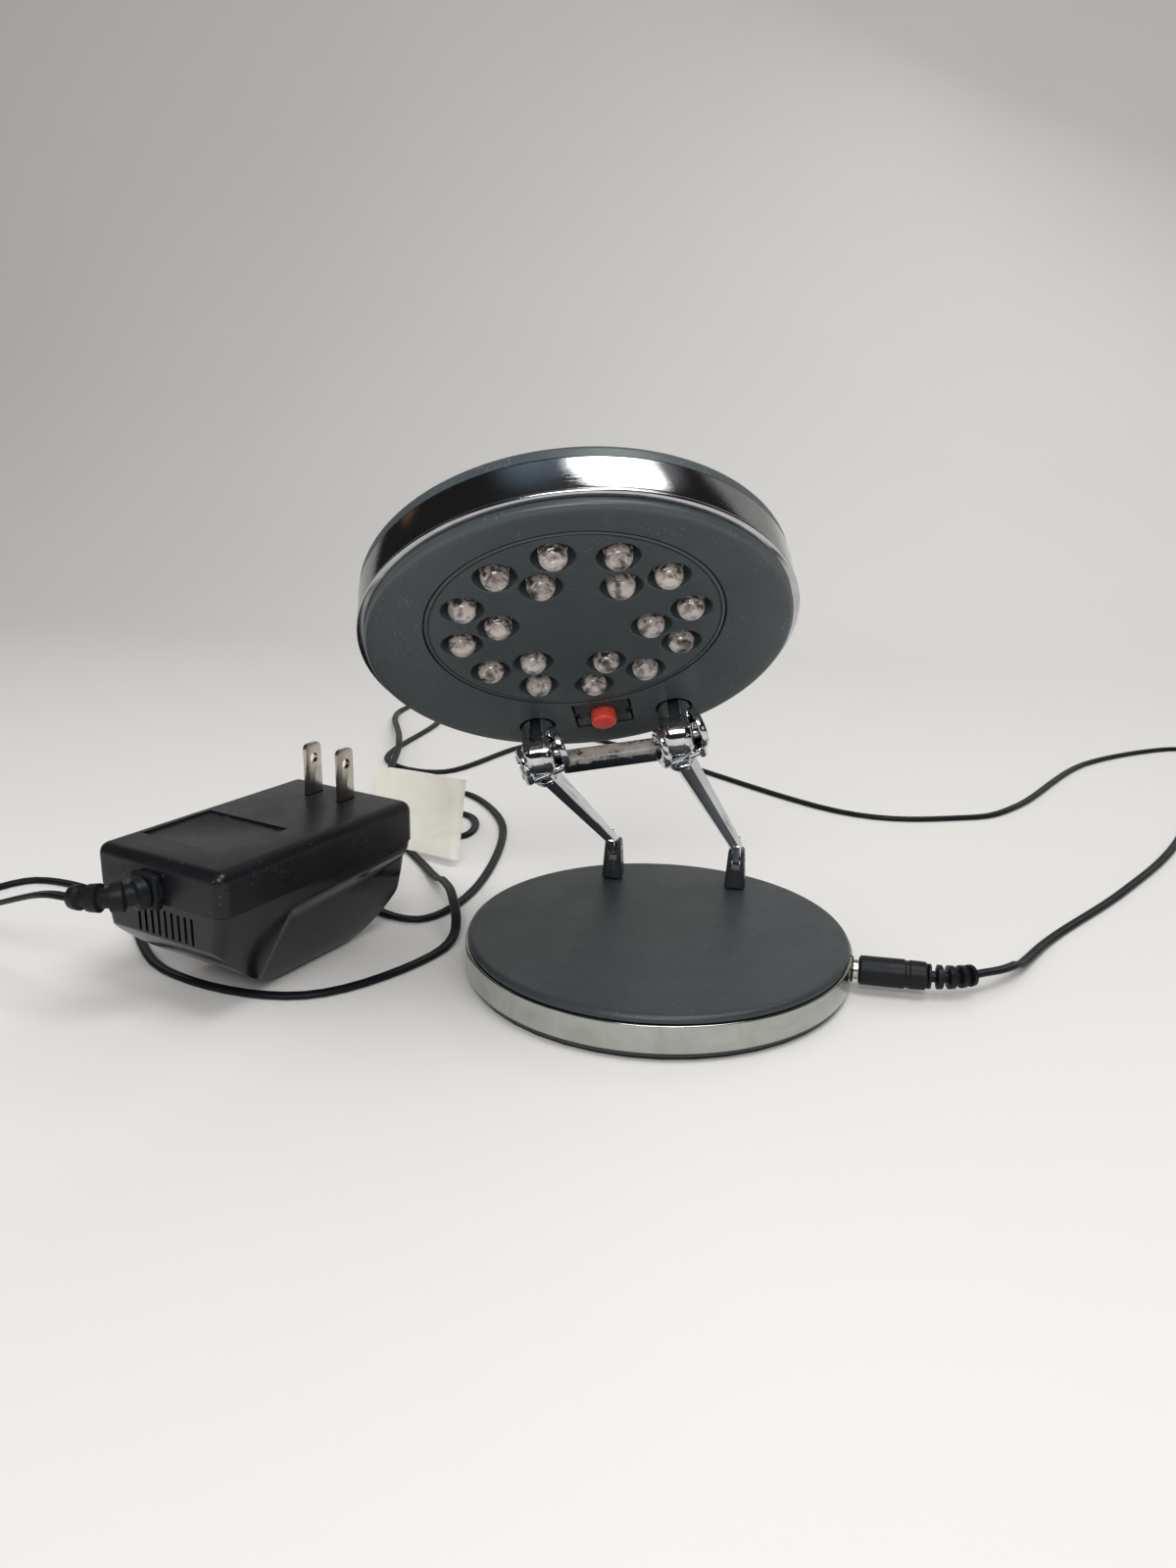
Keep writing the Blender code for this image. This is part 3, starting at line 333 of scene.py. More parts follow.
def mixColours(tree, mask, first, second):
    node = addNode(tree, "ShaderNodeMix", data_type="RGBA")
    for index, value in ((0, mask), (6, first), (7, second)):
        fill(node.inputs[index], value)
    return node.outputs[2]


def buildMouldedSkin():
    # fine moulded grain with soft cloudiness: roughness, shade and a bumped normal
    group, given, result = newGroup(
        "mouldedSkin", [("Vector", None), ("Grain", 4200.0), ("Depth", 0.1), ("Roughness", 0.45)],
        ["Shade", "Roughness", "Normal"],
    )
    grain = noise(group, given["Vector"], Scale=given["Grain"], Detail=3.0, Roughness=0.6)
    cloud = noise(group, given["Vector"], Scale=55.0, Detail=4.0, Roughness=0.55)
    lift = mathNode(group, "MULTIPLY", mathNode(group, "SUBTRACT", cloud, 0.5), 0.22)
    dress(result, {
        "Shade": cloud, "Roughness": mathNode(group, "ADD", given["Roughness"], lift),
        "Normal": bumped(group, grain, given["Depth"], 0.00006),
    })
    return group


def buildHandling():
    # smudges and hairline scratches left by handling
    group, given, result = newGroup(
        "handlingMarks", [("Vector", None), ("Scale", 90.0)], ["Smudge", "Scratch"]
    )
    place = given["Vector"]
    smudge = noise(group, place, Scale=given["Scale"], Detail=5.0, Roughness=0.62, Distortion=1.2)
    spread = mapped(group, smudge, 0.42, 0.72)
    warp = addNode(group, "ShaderNodeTexNoise", Vector=place, Scale=30.0, Detail=2.0)
    bent = vectorNode(group, "MULTIPLY_ADD", warp.outputs["Color"], (0.02, 0.02, 0.02), place)
    cells = addNode(
        group, "ShaderNodeTexVoronoi", feature="DISTANCE_TO_EDGE", Vector=bent[0], Scale=160.0
    )
    thin = mapped(group, cells.outputs["Distance"], 0.012, 0.0)
    dress(result, {"Smudge": spread, "Scratch": mathNode(group, "MULTIPLY", thin, spread)})
    return group


def buildBrushed():
    # fine lines that run round a ring, drawn from the height along its axis
    group, given, result = newGroup(
        "brushedLines", [("Across", 0.0), ("Vector", None), ("Depth", 0.1)], ["Lines", "Normal"]
    )
    drift = mathNode(group, "MULTIPLY", noise(group, given["Vector"], Scale=25.0, Detail=1.0), 3.0)
    moved = mathNode(group, "ADD", mathNode(group, "MULTIPLY", given["Across"], 9000.0), drift)
    lines = addNode(
        group, "ShaderNodeTexNoise", noise_dimensions="1D", W=moved, Scale=1.0, Detail=4.0, Roughness=0.7
    ).outputs["Fac"]
    dress(result, {"Lines": lines, "Normal": bumped(group, lines, given["Depth"], 0.00002)})
    return group


def buildSpecks():
    # small specks of dust or pitting, as a mask
    group, given, result = newGroup("specks", [("Vector", None), ("Scale", 700.0), ("Amount", 0.3)], ["Mask"])
    dots = addNode(
        group, "ShaderNodeTexVoronoi", feature="F1", Vector=given["Vector"], Scale=given["Scale"]
    )
    near = mathNode(group, "LESS_THAN", dots.outputs["Distance"], given["Amount"])
    where = noise(group, given["Vector"], Scale=120.0, Detail=3.0)
    fill(result["Mask"], mathNode(group, "MULTIPLY", near, mathNode(group, "GREATER_THAN", where, 0.56)))
    return group


mouldedSkin = buildMouldedSkin()
handlingMarks = buildHandling()
brushedLines = buildBrushed()
specks = buildSpecks()


def placeGroup(tree, group, **values):
    node = tree.nodes.new("ShaderNodeGroup")
    node.node_tree = group
    dress(node.inputs, values)
    return node.outputs


def newMaterial(name):
    material = bpy.data.materials.new(name)
    material.use_nodes = True
    tree = material.node_tree
    place = tree.nodes.new("ShaderNodeTexCoord").outputs["Object"]
    return material, tree, tree.nodes["Principled BSDF"].inputs, place


def mouldedPlastic(name, dark, light, roughness, grain=4200.0, depth=0.12, dust=0.0, specular=0.5):
    material, tree, shader, place = newMaterial(name)
    skin = placeGroup(tree, mouldedSkin, Vector=place, Grain=grain, Depth=depth, Roughness=roughness)
    marks = placeGroup(tree, handlingMarks, Vector=place, Scale=70.0)
    colour = mixColours(tree, skin["Shade"], dark, light)
    paler = [min(1, channel * 1.9 + 0.02) for channel in light]
    colour = mixColours(tree, mathNode(tree, "MULTIPLY", marks["Scratch"], 0.25), colour, paler)
    if dust:
        dots = placeGroup(tree, specks, Vector=place, Scale=900.0, Amount=0.16)
        thin = mathNode(tree, "MULTIPLY", dots["Mask"], dust)
        colour = mixColours(tree, thin, colour, (0.45, 0.44, 0.42))
    rough = mathNode(tree, "ADD", skin["Roughness"], mathNode(tree, "MULTIPLY", marks["Smudge"], -0.07))
    dress(shader, {
        "Base Color": colour, "Roughness": rough, "Normal": skin["Normal"], "Specular IOR Level": specular,
    })
    return material


def smokyChrome(name, dark, light, roughness, brushed=0.0, matrix=Matrix()):
    material, tree, shader, place = newMaterial(name)
    marks = placeGroup(tree, handlingMarks, Vector=place, Scale=60.0)
    rough = mathNode(tree, "MULTIPLY_ADD", marks["Smudge"], 0.06, roughness)
    rough = mathNode(tree, "ADD", rough, mathNode(tree, "MULTIPLY", marks["Scratch"], 0.12))
    if brushed:
        axis = (matrix.to_3x3() @ Vector((0, 0, 1))).normalized()
        along = vectorNode(tree, "DOT_PRODUCT", place, axis)["Value"]
        lines = placeGroup(tree, brushedLines, Across=along, Vector=place, Depth=brushed)
        fill(shader["Normal"], lines["Normal"])
        streak = mathNode(tree, "MULTIPLY", mathNode(tree, "SUBTRACT", lines["Lines"], 0.5), 0.22)
        rough = mathNode(tree, "ADD", rough, streak)
    colour = mixColours(tree, marks["Smudge"], light, dark)
    dress(shader, {"Base Color": colour, "Roughness": rough, "Metallic": 1})
    return material


# Frames that the pieces are built in

def frameOf(place, *axes):
    return Matrix.Translation(place) @ Matrix(axes).transposed().to_4x4()


def turnAbout(degrees, axis):
    return Matrix.Rotation(math.radians(degrees), 4, axis)


hingeMatrix = (
    Matrix.Translation(hinge["centre"]) @ turnAbout(hinge["yaw"], "Z")
    @ turnAbout(-hinge["roll"], "Y") @ turnAbout(-hinge["tilt"], "X")
)
headMatrix = hingeMatrix @ Matrix.Translation((-hinge["aside"], -hinge["reach"], hinge["drop"]))
discMatrix = headMatrix @ Matrix.Translation((0, headSettings["discY"], 0))
adapterMatrix = Matrix.Translation(adapter["place"]) @ turnAbout(adapter["turn"], "Z")

# Plastics: dark and light tone, roughness, scale and depth of the grain, dust, specular level
plasticFinishes = {
    "greyPlastic": ((0.042, 0.053, 0.057), (0.056, 0.068, 0.073), 0.42, 5200.0, 0.22, 0.35),
    "basePlastic": ((0.022, 0.027, 0.030), (0.030, 0.036, 0.039), 0.46, 5200.0, 0.22, 0.2),
    "discPlastic": ((0.043, 0.053, 0.057), (0.057, 0.068, 0.072), 0.45, 6000.0, 0.25, 0.25),
    "switchPlastic": ((0.018, 0.021, 0.022), (0.026, 0.029, 0.031), 0.42, 5200.0, 0.15, 0.3),
    "lugBlack": ((0.012, 0.015, 0.017), (0.020, 0.024, 0.027), 0.30, 3800.0, 0.10, 0.2),
    "adapterBlack": ((0.005, 0.005, 0.007), (0.009, 0.009, 0.011), 0.36, 2600.0, 0.30, 0.20, 0.32),
    "hullBlack": ((0.004, 0.004, 0.006), (0.008, 0.008, 0.010), 0.20, 2600.0, 0.05, 0.1, 0.4),
    "plugBlack": ((0.005, 0.006, 0.007), (0.009, 0.010, 0.012), 0.44, 3000.0, 0.12, 0.10, 0.2),
    "cordBlack": ((0.004, 0.005, 0.006), (0.008, 0.009, 0.011), 0.42, 1800.0, 0.12, 0.08, 0.14),
    "redPlastic": ((0.62, 0.045, 0.028), (0.74, 0.075, 0.045), 0.40, 3000.0, 0.10, 0.1),
    "boardGreen": ((0.010, 0.040, 0.022), (0.020, 0.065, 0.035), 0.40, 1500.0, 0.05),
    "foamBlack": ((0.012, 0.012, 0.012), (0.022, 0.022, 0.022), 0.9, 2600.0, 0.8),
}
# Metals: dark and light tone, roughness, depth of the brushed lines and the frame they run round
metalFinishes = {
    "chrome": ((0.50, 0.51, 0.52), (0.66, 0.67, 0.69), 0.07),
    "baseBandChrome": ((0.37, 0.385, 0.355), (0.45, 0.465, 0.435), 0.12, 0.10),
    "headBandChrome": ((0.42, 0.43, 0.44), (0.55, 0.56, 0.57), 0.10, 0.35, headMatrix),
    "nickel": ((0.46, 0.42, 0.36), (0.62, 0.58, 0.51), 0.22),
    "steel": ((0.40, 0.40, 0.40), (0.52, 0.52, 0.52), 0.30),
}


def paperMaterial():
    material, tree, shader, place = newMaterial("labelFilm")
    fibres = placeGroup(tree, mouldedSkin, Vector=place, Grain=1500.0, Depth=0.25, Roughness=0.62)
    stain = placeGroup(tree, handlingMarks, Vector=place, Scale=45.0)
    colour = mixColours(tree, fibres["Shade"], (0.70, 0.68, 0.60), (0.78, 0.77, 0.70))
    aged = mathNode(tree, "MULTIPLY", stain["Smudge"], 0.45)
    colour = mixColours(tree, aged, colour, (0.58, 0.52, 0.40))
    dress(shader, {"Base Color": colour, "Roughness": fibres["Roughness"], "Normal": fibres["Normal"]})
    return material


def wornBarMaterial():
    # dark chrome whose upper face has lost its plating in a speckled patch
    material, tree, shader, place = newMaterial("wornBar")
    mapping = addNode(
        tree, "ShaderNodeMapping", vector_type="TEXTURE", Vector=place, Location=hinge["centre"],
        Rotation=hingeMatrix.to_euler(),
    )
    parts = addNode(tree, "ShaderNodeSeparateXYZ", Vector=mapping.outputs["Vector"])
    height = mapped(tree, parts.outputs["Y"], 4.4 * mm, 2.0 * mm)
    grit = noise(tree, place, Scale=900.0, Detail=4.0, Roughness=0.7)
    patch = noise(tree, place, Scale=260.0, Detail=3.0)
    both = mathNode(tree, "MULTIPLY_ADD", height, 0.62, mathNode(tree, "ADD", grit, patch))
    mask = mapped(tree, both, 1.38, 1.55)
    worn = mixColours(tree, patch, (0.16, 0.15, 0.14), (0.52, 0.49, 0.44))
    dress(shader, {
        "Base Color": mixColours(tree, mask, (0.20, 0.21, 0.23), worn),
        "Roughness": mathNode(tree, "MULTIPLY_ADD", mask, 0.45, 0.22),
        "Metallic": mathNode(tree, "MULTIPLY_ADD", mask, -0.75, 1.0),
        "Normal": bumped(tree, mask, 0.5, 0.00008),
    })
    return material


def clearEpoxy():
    material, tree, shader, place = newMaterial("clearEpoxy")
    marks = placeGroup(tree, handlingMarks, Vector=place, Scale=240.0)
    dress(shader, {
        "Base Color": (0.96, 0.94, 0.92), "Roughness": mathNode(tree, "MULTIPLY", marks["Smudge"], 0.05),
        "Transmission Weight": 1.0, "IOR": 1.5,
    })
    return material


def reflectorWithPaintedGlow():
    # pale silver with a brown cast; its bright patches and darker facet lines are painted reflections, and
    # its emission is a painted glow
    material, tree, shader, place = newMaterial("reflectorPaintedGlow")
    facets = addNode(tree, "ShaderNodeTexVoronoi", Vector=place, Scale=900.0)
    mask = mapped(tree, noise(tree, place, Scale=520.0, Detail=2.0), 0.36, 0.56)
    colour = mixColours(tree, mask, (0.07, 0.058, 0.054), (0.66, 0.60, 0.57))
    edge = mapped(tree, facets.outputs["Distance"], 0.0, 0.35)
    colour = mixColours(tree, edge, (0.20, 0.175, 0.165), colour)
    dress(shader, {
        "Base Color": colour, "Roughness": mathNode(tree, "MULTIPLY", mask, 0.45), "Metallic": 0.45,
        # painted glow: the emission lights the reflector, which is no lamp
        "Emission Color": colour, "Emission Strength": 0.13,
    })
    return material


def makeMaterials():
    made = {name: mouldedPlastic(name, *values) for name, values in plasticFinishes.items()}
    made.update({name: smokyChrome(name, *values) for name, values in metalFinishes.items()})
    made["labelFilm"] = paperMaterial()
    made["wornBar"] = wornBarMaterial()
    made["clearEpoxy"] = clearEpoxy()
    made["reflectorPaintedGlow"] = reflectorWithPaintedGlow()
    return made


def makeCamera():
    forward = Vector(cameraSettings["forward"]).normalized()
    right = forward.cross(Vector(cameraSettings["up"])).normalized()
    bpy.ops.object.camera_add()
    camera = named("lampCamera")
    camera.matrix_world = frameOf(cameraSettings["place"], right, right.cross(forward), -forward)
    camera.data.lens = cameraSettings["lens"]
    camera.data.sensor_width = cameraSettings["sensor"]
    camera.data.clip_start = cameraSettings["clipStart"]
    bpy.context.scene.camera = camera


def finishPiece(piece, body, finish, slotName, *nodes):
    # one closing step for each piece: material, body and the nodes it stands for
    piece.data.materials.clear()
    piece.data.materials.append(materials[finish])
    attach(piece, body)
    if nodes:
        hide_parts(*nodes)
    return piece


def smoothPath(points, perSpan):
    guides = [Vector(point) for point in points]
    guides = [2 * guides[0] - guides[1], *guides, 2 * guides[-1] - guides[-2]]
    path = []
    for before, start, end, after in zip(guides, guides[1:], guides[2:], guides[3:]):
        for step in range(perSpan):
            t = step / perSpan
            path.append(0.5 * (
                2 * start + (end - before) * t
                + (2 * before - 5 * start + 4 * end - after) * t * t
                + (3 * start - before - 3 * end + after) * t ** 3
            ))
    path.append(guides[-2])
    return path


def tubeAlong(name, path, radii, sides=4, profile=None):
    curve = bpy.data.curves.new(name, "CURVE")
    curve.dimensions = "3D"
    curve.twist_mode = "Z_UP"
    curve.use_fill_caps = True
    if profile is None:
        curve.bevel_depth = 1
        curve.bevel_resolution = sides
    else:
        curve.bevel_mode = "OBJECT"
        curve.bevel_object = profile
    spline = curve.splines.new("POLY")
    spline.points.add(len(path) - 1)
    for point, place, radius in zip(spline.points, path, radii):
        point.co = (*place, 1)
        point.radius = radius
    piece = bpy.data.objects.new(name, curve)
    bpy.context.collection.objects.link(piece)
    pick(piece)
    bpy.ops.object.convert(target="MESH")
    return named(name)


# The cord comes first, because its room on the table is checked

cordSettings = {
    **millimetres(width=3.05, core=0.77, centres=0.755, lower=0.95, lowest=0.8, lifted=4),
    "exit": (0.0886, 0.0021, 0.0060), "length": 2.03, "perSpan": 8,
    "route": [
        (0.0886, 0.0021, 0.0060), (0.1018, 0.0163, 0.0040), (0.1175, 0.0465, 0.0018),
        (0.1490, 0.0940, 0.0018), (0.1810, 0.1520, 0.0018), (0.2160, 0.2420, 0.0018),
        (0.2300, 0.2960, 0.0018), (0.2190, 0.3100, 0.0018), (0.1700, 0.2670, 0.0018),
        (0.1290, 0.1900, 0.0018), (0.1026, 0.1657, 0.0018), (0.0540, 0.1620, 0.0018),
        (-0.0220, 0.2220, 0.0018), (-0.0700, 0.2540, 0.0018), (-0.0970, 0.2300, 0.0018),
        (-0.1200, 0.1780, 0.0018), (-0.1530, 0.1940, 0.0018), (-0.1520, 0.2700, 0.0018),
        (-0.1680, 0.3260, 0.0018), (-0.1790, 0.2820, 0.0022), (-0.1545, 0.2150, 0.0058),
        (-0.1440, 0.1810, 0.0056), (-0.1300, 0.1120, 0.0020), (-0.1040, 0.0340, 0.0018),
        (-0.0770, 0.0150, 0.0018), (-0.0670, 0.0480, 0.0018), (-0.0750, 0.1100, 0.0018),
        (-0.1010, 0.1480, 0.0018), (-0.1150, 0.1310, 0.0018), (-0.0900, 0.1180, 0.0018),
        (-0.0860, 0.0960, 0.0018), (-0.1060, 0.0860, 0.0018), (-0.0880, 0.0570, 0.0022),
        (-0.0695, 0.0255, 0.0060), (-0.0630, -0.0050, 0.0020), (-0.0900, -0.0415, 0.0018),
        (-0.1350, -0.0355, 0.0018), (-0.1730, 0.0050, 0.0018), (-0.2120, 0.0170, 0.0018),
        (-0.2210, -0.0120, 0.0030), (-0.1900, -0.0390, 0.0155), (-0.1560, -0.0570, 0.0297),
        (-0.1430, -0.0616, 0.0321),
    ],
}


def makeCord():
    # a twin lead: two round cores side by side with a groove between them, laid flat
    # the route is that of a round lead, so what lies on the table is lowered to suit the flat one
    c = cordSettings
    path = smoothPath(c["route"], c["perSpan"])
    for point in path:
        if point.z < c["lifted"]:
            point.z = max(c["lowest"], point.z - c["lower"])
    section = bpy.data.curves.new("leadSection", "CURVE")
    section.dimensions = "2D"
    outline = []
    for step in range(9):
        angle = math.radians(-130 + 260 * step / 8)
        outline.append((c["centres"] + c["core"] * math.cos(angle), c["core"] * math.sin(angle)))
    outline += [(-x, -y) for x, y in outline]
    spline = section.splines.new("POLY")
    spline.points.add(len(outline) - 1)
    for point, place in zip(spline.points, outline):
        point.co = (*place, 0, 1)
    spline.use_cyclic_u = True
    profile = bpy.data.objects.new("leadSection", section)
    bpy.context.collection.objects.link(profile)
    cord = tubeAlong("twinLead", path, [1] * len(path), profile=profile)
    bpy.data.objects.remove(profile, do_unlink=True)
    return smooth(fixNormals(cord), 60), path


# Head

def makeHeadFace():
    h = headSettings
    face = turnedPiece("headFront", [
        (0.4 * mm, 0), (40 * mm, 0), (h["edgeRadius"] - 3 * mm, 0),
        *arcPoints((h["edgeRadius"] - h["edgeRound"], h["edgeRound"]), h["edgeRound"], -90, 0, 5),
        (h["edgeRadius"], h["faceThick"]), (h["skirtOut"], h["faceThick"]), (h["skirtOut"], h["skirtEnd"]),
        (h["skirtIn"], h["skirtEnd"]), (h["skirtIn"], h["faceThick"]), (0.4 * mm, h["faceThick"]),
    ], steps=192)
    capBothEnds(face)
    boolean(face, addRod("discHole", h["discHole"], 8 * mm, (0, h["discY"], 0), sides=160))
    boolean(face, addRod("discSeat", h["discSeat"], 3.0 * mm, (0, h["discY"], 0), sides=160))
    up = hinge["reach"]
    aside = hinge["aside"]
    boolean(face, addBlock("switchHole", (16.6 * mm, 13.6 * mm, 8 * mm), (aside - 0.3 * mm, up - 2 * mm, 0)))
    for sign in (-1, 1):
        x = aside + sign * hinge["hubSpacing"] / 2
        boolean(face, addRod("bracketHole", h["bracketHole"], 8 * mm, (x, up, 0), "Z", 56))
    return smooth(settle(face, headMatrix), 30)


def makeHeadBand():
    h = headSettings
    beadMid = h["bandStart"] + h["beadRound"]
    band = turnedPiece("headTrim", [
        (h["bandIn"], h["bandEnd"]), (h["bandOut"] - 0.25 * mm, h["bandEnd"]),
        (h["bandOut"], h["bandEnd"] - 0.25 * mm), (h["bandOut"], beadMid + 2.1 * h["beadRound"]),
        (h["bandOut"] - 0.12 * mm, beadMid + 1.35 * h["beadRound"]),
        *arcPoints((h["bandOut"] - 0.2 * mm, beadMid), h["beadRound"], 60, -80, 8),
        (h["bandIn"], h["bandStart"]),
    ], steps=224, closed=True)
    return smooth(settle(band, headMatrix), 40)


def makeHeadShell():
    h = headSettings
    crownRadius = h["shellRadius"] - h["shoulder"]
    shoulder = arcPoints((crownRadius, h["shellSide"]), h["shoulder"], 0, 62, 5)
    low = shoulder[-1][1]
    dome = []
    for step in range(1, 13):
        share = 1 - step / 12.0
        rise = (h["crown"] - low) * (1 - share ** 2.6)
        dome.append((max(0.4 * mm, shoulder[-1][0] * share), low + rise))
    inner = [(radius, height - h["shellWall"]) for radius, height in reversed(dome)]
    shell = turnedPiece("headBack", [
        *reversed(dome), *reversed(shoulder), (h["shellRadius"], h["shellLow"]),
        (h["skirtOut"], h["shellLow"]), (h["skirtOut"], 8.3 * mm), (h["skirtIn"], 8.3 * mm),
        (h["skirtIn"], low - h["shellWall"]), *inner,
    ], steps=192)
    capBothEnds(shell)
    return smooth(settle(shell, headMatrix), 30)


discSettings = {
    "turn": 1.2, "innerTurn": 46.2,
    **millimetres(
        radius=37.5, flange=1.2, plug=35.6, thick=4.0, holeFront=5.25, holeBack=3.95, domeRadius=3.45,
        tip=-2.9, board=6.0, outerCircle=29.1, innerCircle=19.2,
    ),
}


def ledPlaces():
    d = discSettings
    for count, circle, turn in ((12, d["outerCircle"], d["turn"]), (6, d["innerCircle"], d["innerTurn"])):
        for index in range(count):
            angle = math.radians(turn + 360 / count * index)
            yield circle * math.cos(angle), -circle * math.sin(angle)


def makeLedDisc():
    d = discSettings
    disc = turnedPiece("ledInsert", [
        (0.4 * mm, 0), (12 * mm, 0), (24 * mm, 0), (34.5 * mm, 0), (36.25 * mm, 0), (36.4 * mm, 0.4 * mm),
        (36.6 * mm, 0.4 * mm), (36.75 * mm, 0), (d["radius"] - 0.35 * mm, 0),
        (d["radius"] - 0.1 * mm, 0.1 * mm), (d["radius"], 0.35 * mm), (d["radius"], d["flange"]),
        (d["plug"], d["flange"]), (d["plug"], d["thick"]), (24 * mm, d["thick"]), (12 * mm, d["thick"]),
        (0.4 * mm, d["thick"]),
    ], steps=144)
    funnel = turnedPiece("ledHole", [
        (0.4 * mm, -0.6 * mm), (d["holeFront"] + 0.9 * mm, -0.6 * mm),
        (d["holeFront"] + 0.28 * mm, 0.02 * mm), (d["holeFront"] + 0.07 * mm, 0.12 * mm),
        (d["holeFront"], 0.35 * mm),
        (d["holeBack"], d["thick"] + 0.4 * mm), (0.4 * mm, d["thick"] + 0.4 * mm),
    ], steps=44)
    funnels = [duplicate(funnel, f"ledHole{index}", (x, y, 0)) for index, (x, y) in enumerate(ledPlaces())]
    bpy.data.objects.remove(funnel, do_unlink=True)
    boolean(disc, joined(funnels, "ledHoles"))
    return smooth(settle(disc, discMatrix), 30)


def makeLeds():
    # one lamp is shaped, then copied to each hole
    d = discSettings
    centre = d["tip"] + d["domeRadius"]
    dome = arcPoints((0, centre), d["domeRadius"], -84, 0, 9)
    low = d["board"] - 0.3 * mm
    master = turnedPiece("ledMaster", [
        *dome, (d["domeRadius"], low - 1.0 * mm), (d["domeRadius"] + 0.35 * mm, low - 0.9 * mm),
        (d["domeRadius"] + 0.35 * mm, low), (0.5 * mm, low),
    ], steps=36)
    capBothEnds(master)
    smooth(master, 40)
    lamps = []
    for index, (x, y) in enumerate(ledPlaces()):
        lamp = duplicate(master, f"ledLens{index + 1:02d}", (x, y, 0))
        settle(lamp, discMatrix)
        lamps.append(lamp)
    bpy.data.objects.remove(master, do_unlink=True)

    # the metal inside: a wide reflector, made bright by the painted glow of its finish, with its bowl, a
    # broad leg and a thin one
    master = turnedPiece("reflectorMaster", [
        (0.3 * mm, 1.25 * mm), (0.8 * mm, 1.15 * mm), (1.25 * mm, 0.55 * mm), (1.9 * mm, 0.15 * mm),
        (2.55 * mm, 0.35 * mm), (2.75 * mm, 0.95 * mm), (2.5 * mm, 1.7 * mm), (1.3 * mm, 2.3 * mm),
        (0.3 * mm, 2.3 * mm),
    ], steps=18)
    capBothEnds(master)
    for vertex in master.data.vertices:
        wave = math.sin(vertex.co.x * 2600 + 1.3) * math.cos(vertex.co.y * 3100)
        vertex.co.z += 0.22 * mm * wave
    for x, width in ((-0.9 * mm, 1.9 * mm), (1.5 * mm, 0.7 * mm)):
        leg = addBlock("leg", (width, 0.5 * mm, 3.4 * mm), (x, 0, 3.9 * mm), 0.08 * mm, 1)
        master = joined([master, leg], "reflectorMaster")
    smooth(master, 20)
    frames = []
    for index, (x, y) in enumerate(ledPlaces()):
        turned = duplicate(master, f"reflector{index}", (x, y, 0))
        turned.rotation_euler = (0, 0, 0.5 + 1.7 * math.sin(2.4 * index))
        settle(turned)
        frames.append(turned)
    bpy.data.objects.remove(master, do_unlink=True)
    metal = joined(frames, "ledLeadFrames")
    settle(metal, discMatrix)
    return lamps, metal


# Switch

switchSettings = millimetres(
    x=-0.3, y=-2.0, width=15.3, height=12.3, thick=1.2, button=3.55, proud=3.2, stemEnd=13.5
)


def makeSwitch():
    s = switchSettings
    z = hinge["drop"]
    middle = (s["x"], s["y"], z + 0.35 * mm + s["thick"] / 2)
    plate = addBlock("switchPlateFront", (s["width"], s["height"], s["thick"]), middle, 0.15 * mm, 2)
    for sign in (-1, 1):
        tab = addBlock(
            "tab", (1.4 * mm, 1.5 * mm, 0.8 * mm),
            (s["x"] + sign * (s["width"] / 2 - 0.1 * mm), s["y"], middle[2] + 0.15 * mm), 0.1 * mm, 1,
        )
        cutOut = addBlock(
            "cutOut", (2.2 * mm, 3.4 * mm, 3 * mm), (s["x"] + sign * s["width"] / 2, s["y"], middle[2]),
        )
        boolean(plate, cutOut)
        tongue = addBlock(
            "tongue", (2.0 * mm, 1.5 * mm, 0.8 * mm),
            (s["x"] + sign * (s["width"] / 2 - 0.75 * mm), s["y"], middle[2] + 0.15 * mm), 0.1 * mm, 1,
        )
        boolean(plate, joined([tab, tongue], "tabs"), "UNION")
    boolean(plate, addRod("well", s["button"] + 0.3 * mm, 4 * mm, middle, sides=64))
    smooth(settle(plate, hingeMatrix), 30)

    low = z - s["proud"]
    button = turnedPiece("switchCap", [
        (0.3 * mm, low), (1.8 * mm, low + 0.02 * mm), (s["button"] - 0.9 * mm, low + 0.10 * mm),
        *arcPoints((s["button"] - 0.75 * mm, low + 0.85 * mm), 0.72 * mm, -80, 0, 6),
        (s["button"], low + 2.0 * mm), (s["button"], z + 1.4 * mm), (2 * mm, z + 1.4 * mm),
        (2 * mm, s["stemEnd"] - 0.5 * mm), (0.3 * mm, s["stemEnd"] - 0.5 * mm),
    ], steps=72)
    capBothEnds(button)
    smooth(settle(button, hingeMatrix @ Matrix.Translation((s["x"], s["y"], 0))), 35)
    return plate, button


# Brackets, forks and arms

armSettings = {
    "turn": 20,
    **millimetres(
        knuckle=5.6, knuckleWidth=9.0, neck=4.75, slot=3.1, slotDepth=3.3, seam=1.7, cheek=6.2,
        cheekThick=2.2, cheekX=5.9, dish=5.1, dishDepth=1.1, lobe=5.0, lobeDrop=3.4, yokeThick=2.6,
        yokeDepth=5.6, yokeClear=0.4, tongue=2.0, tongueRadius=2.4, heelNeck=5.4, foot=2.2, top=3.65, pin=1.5,
    ),
}


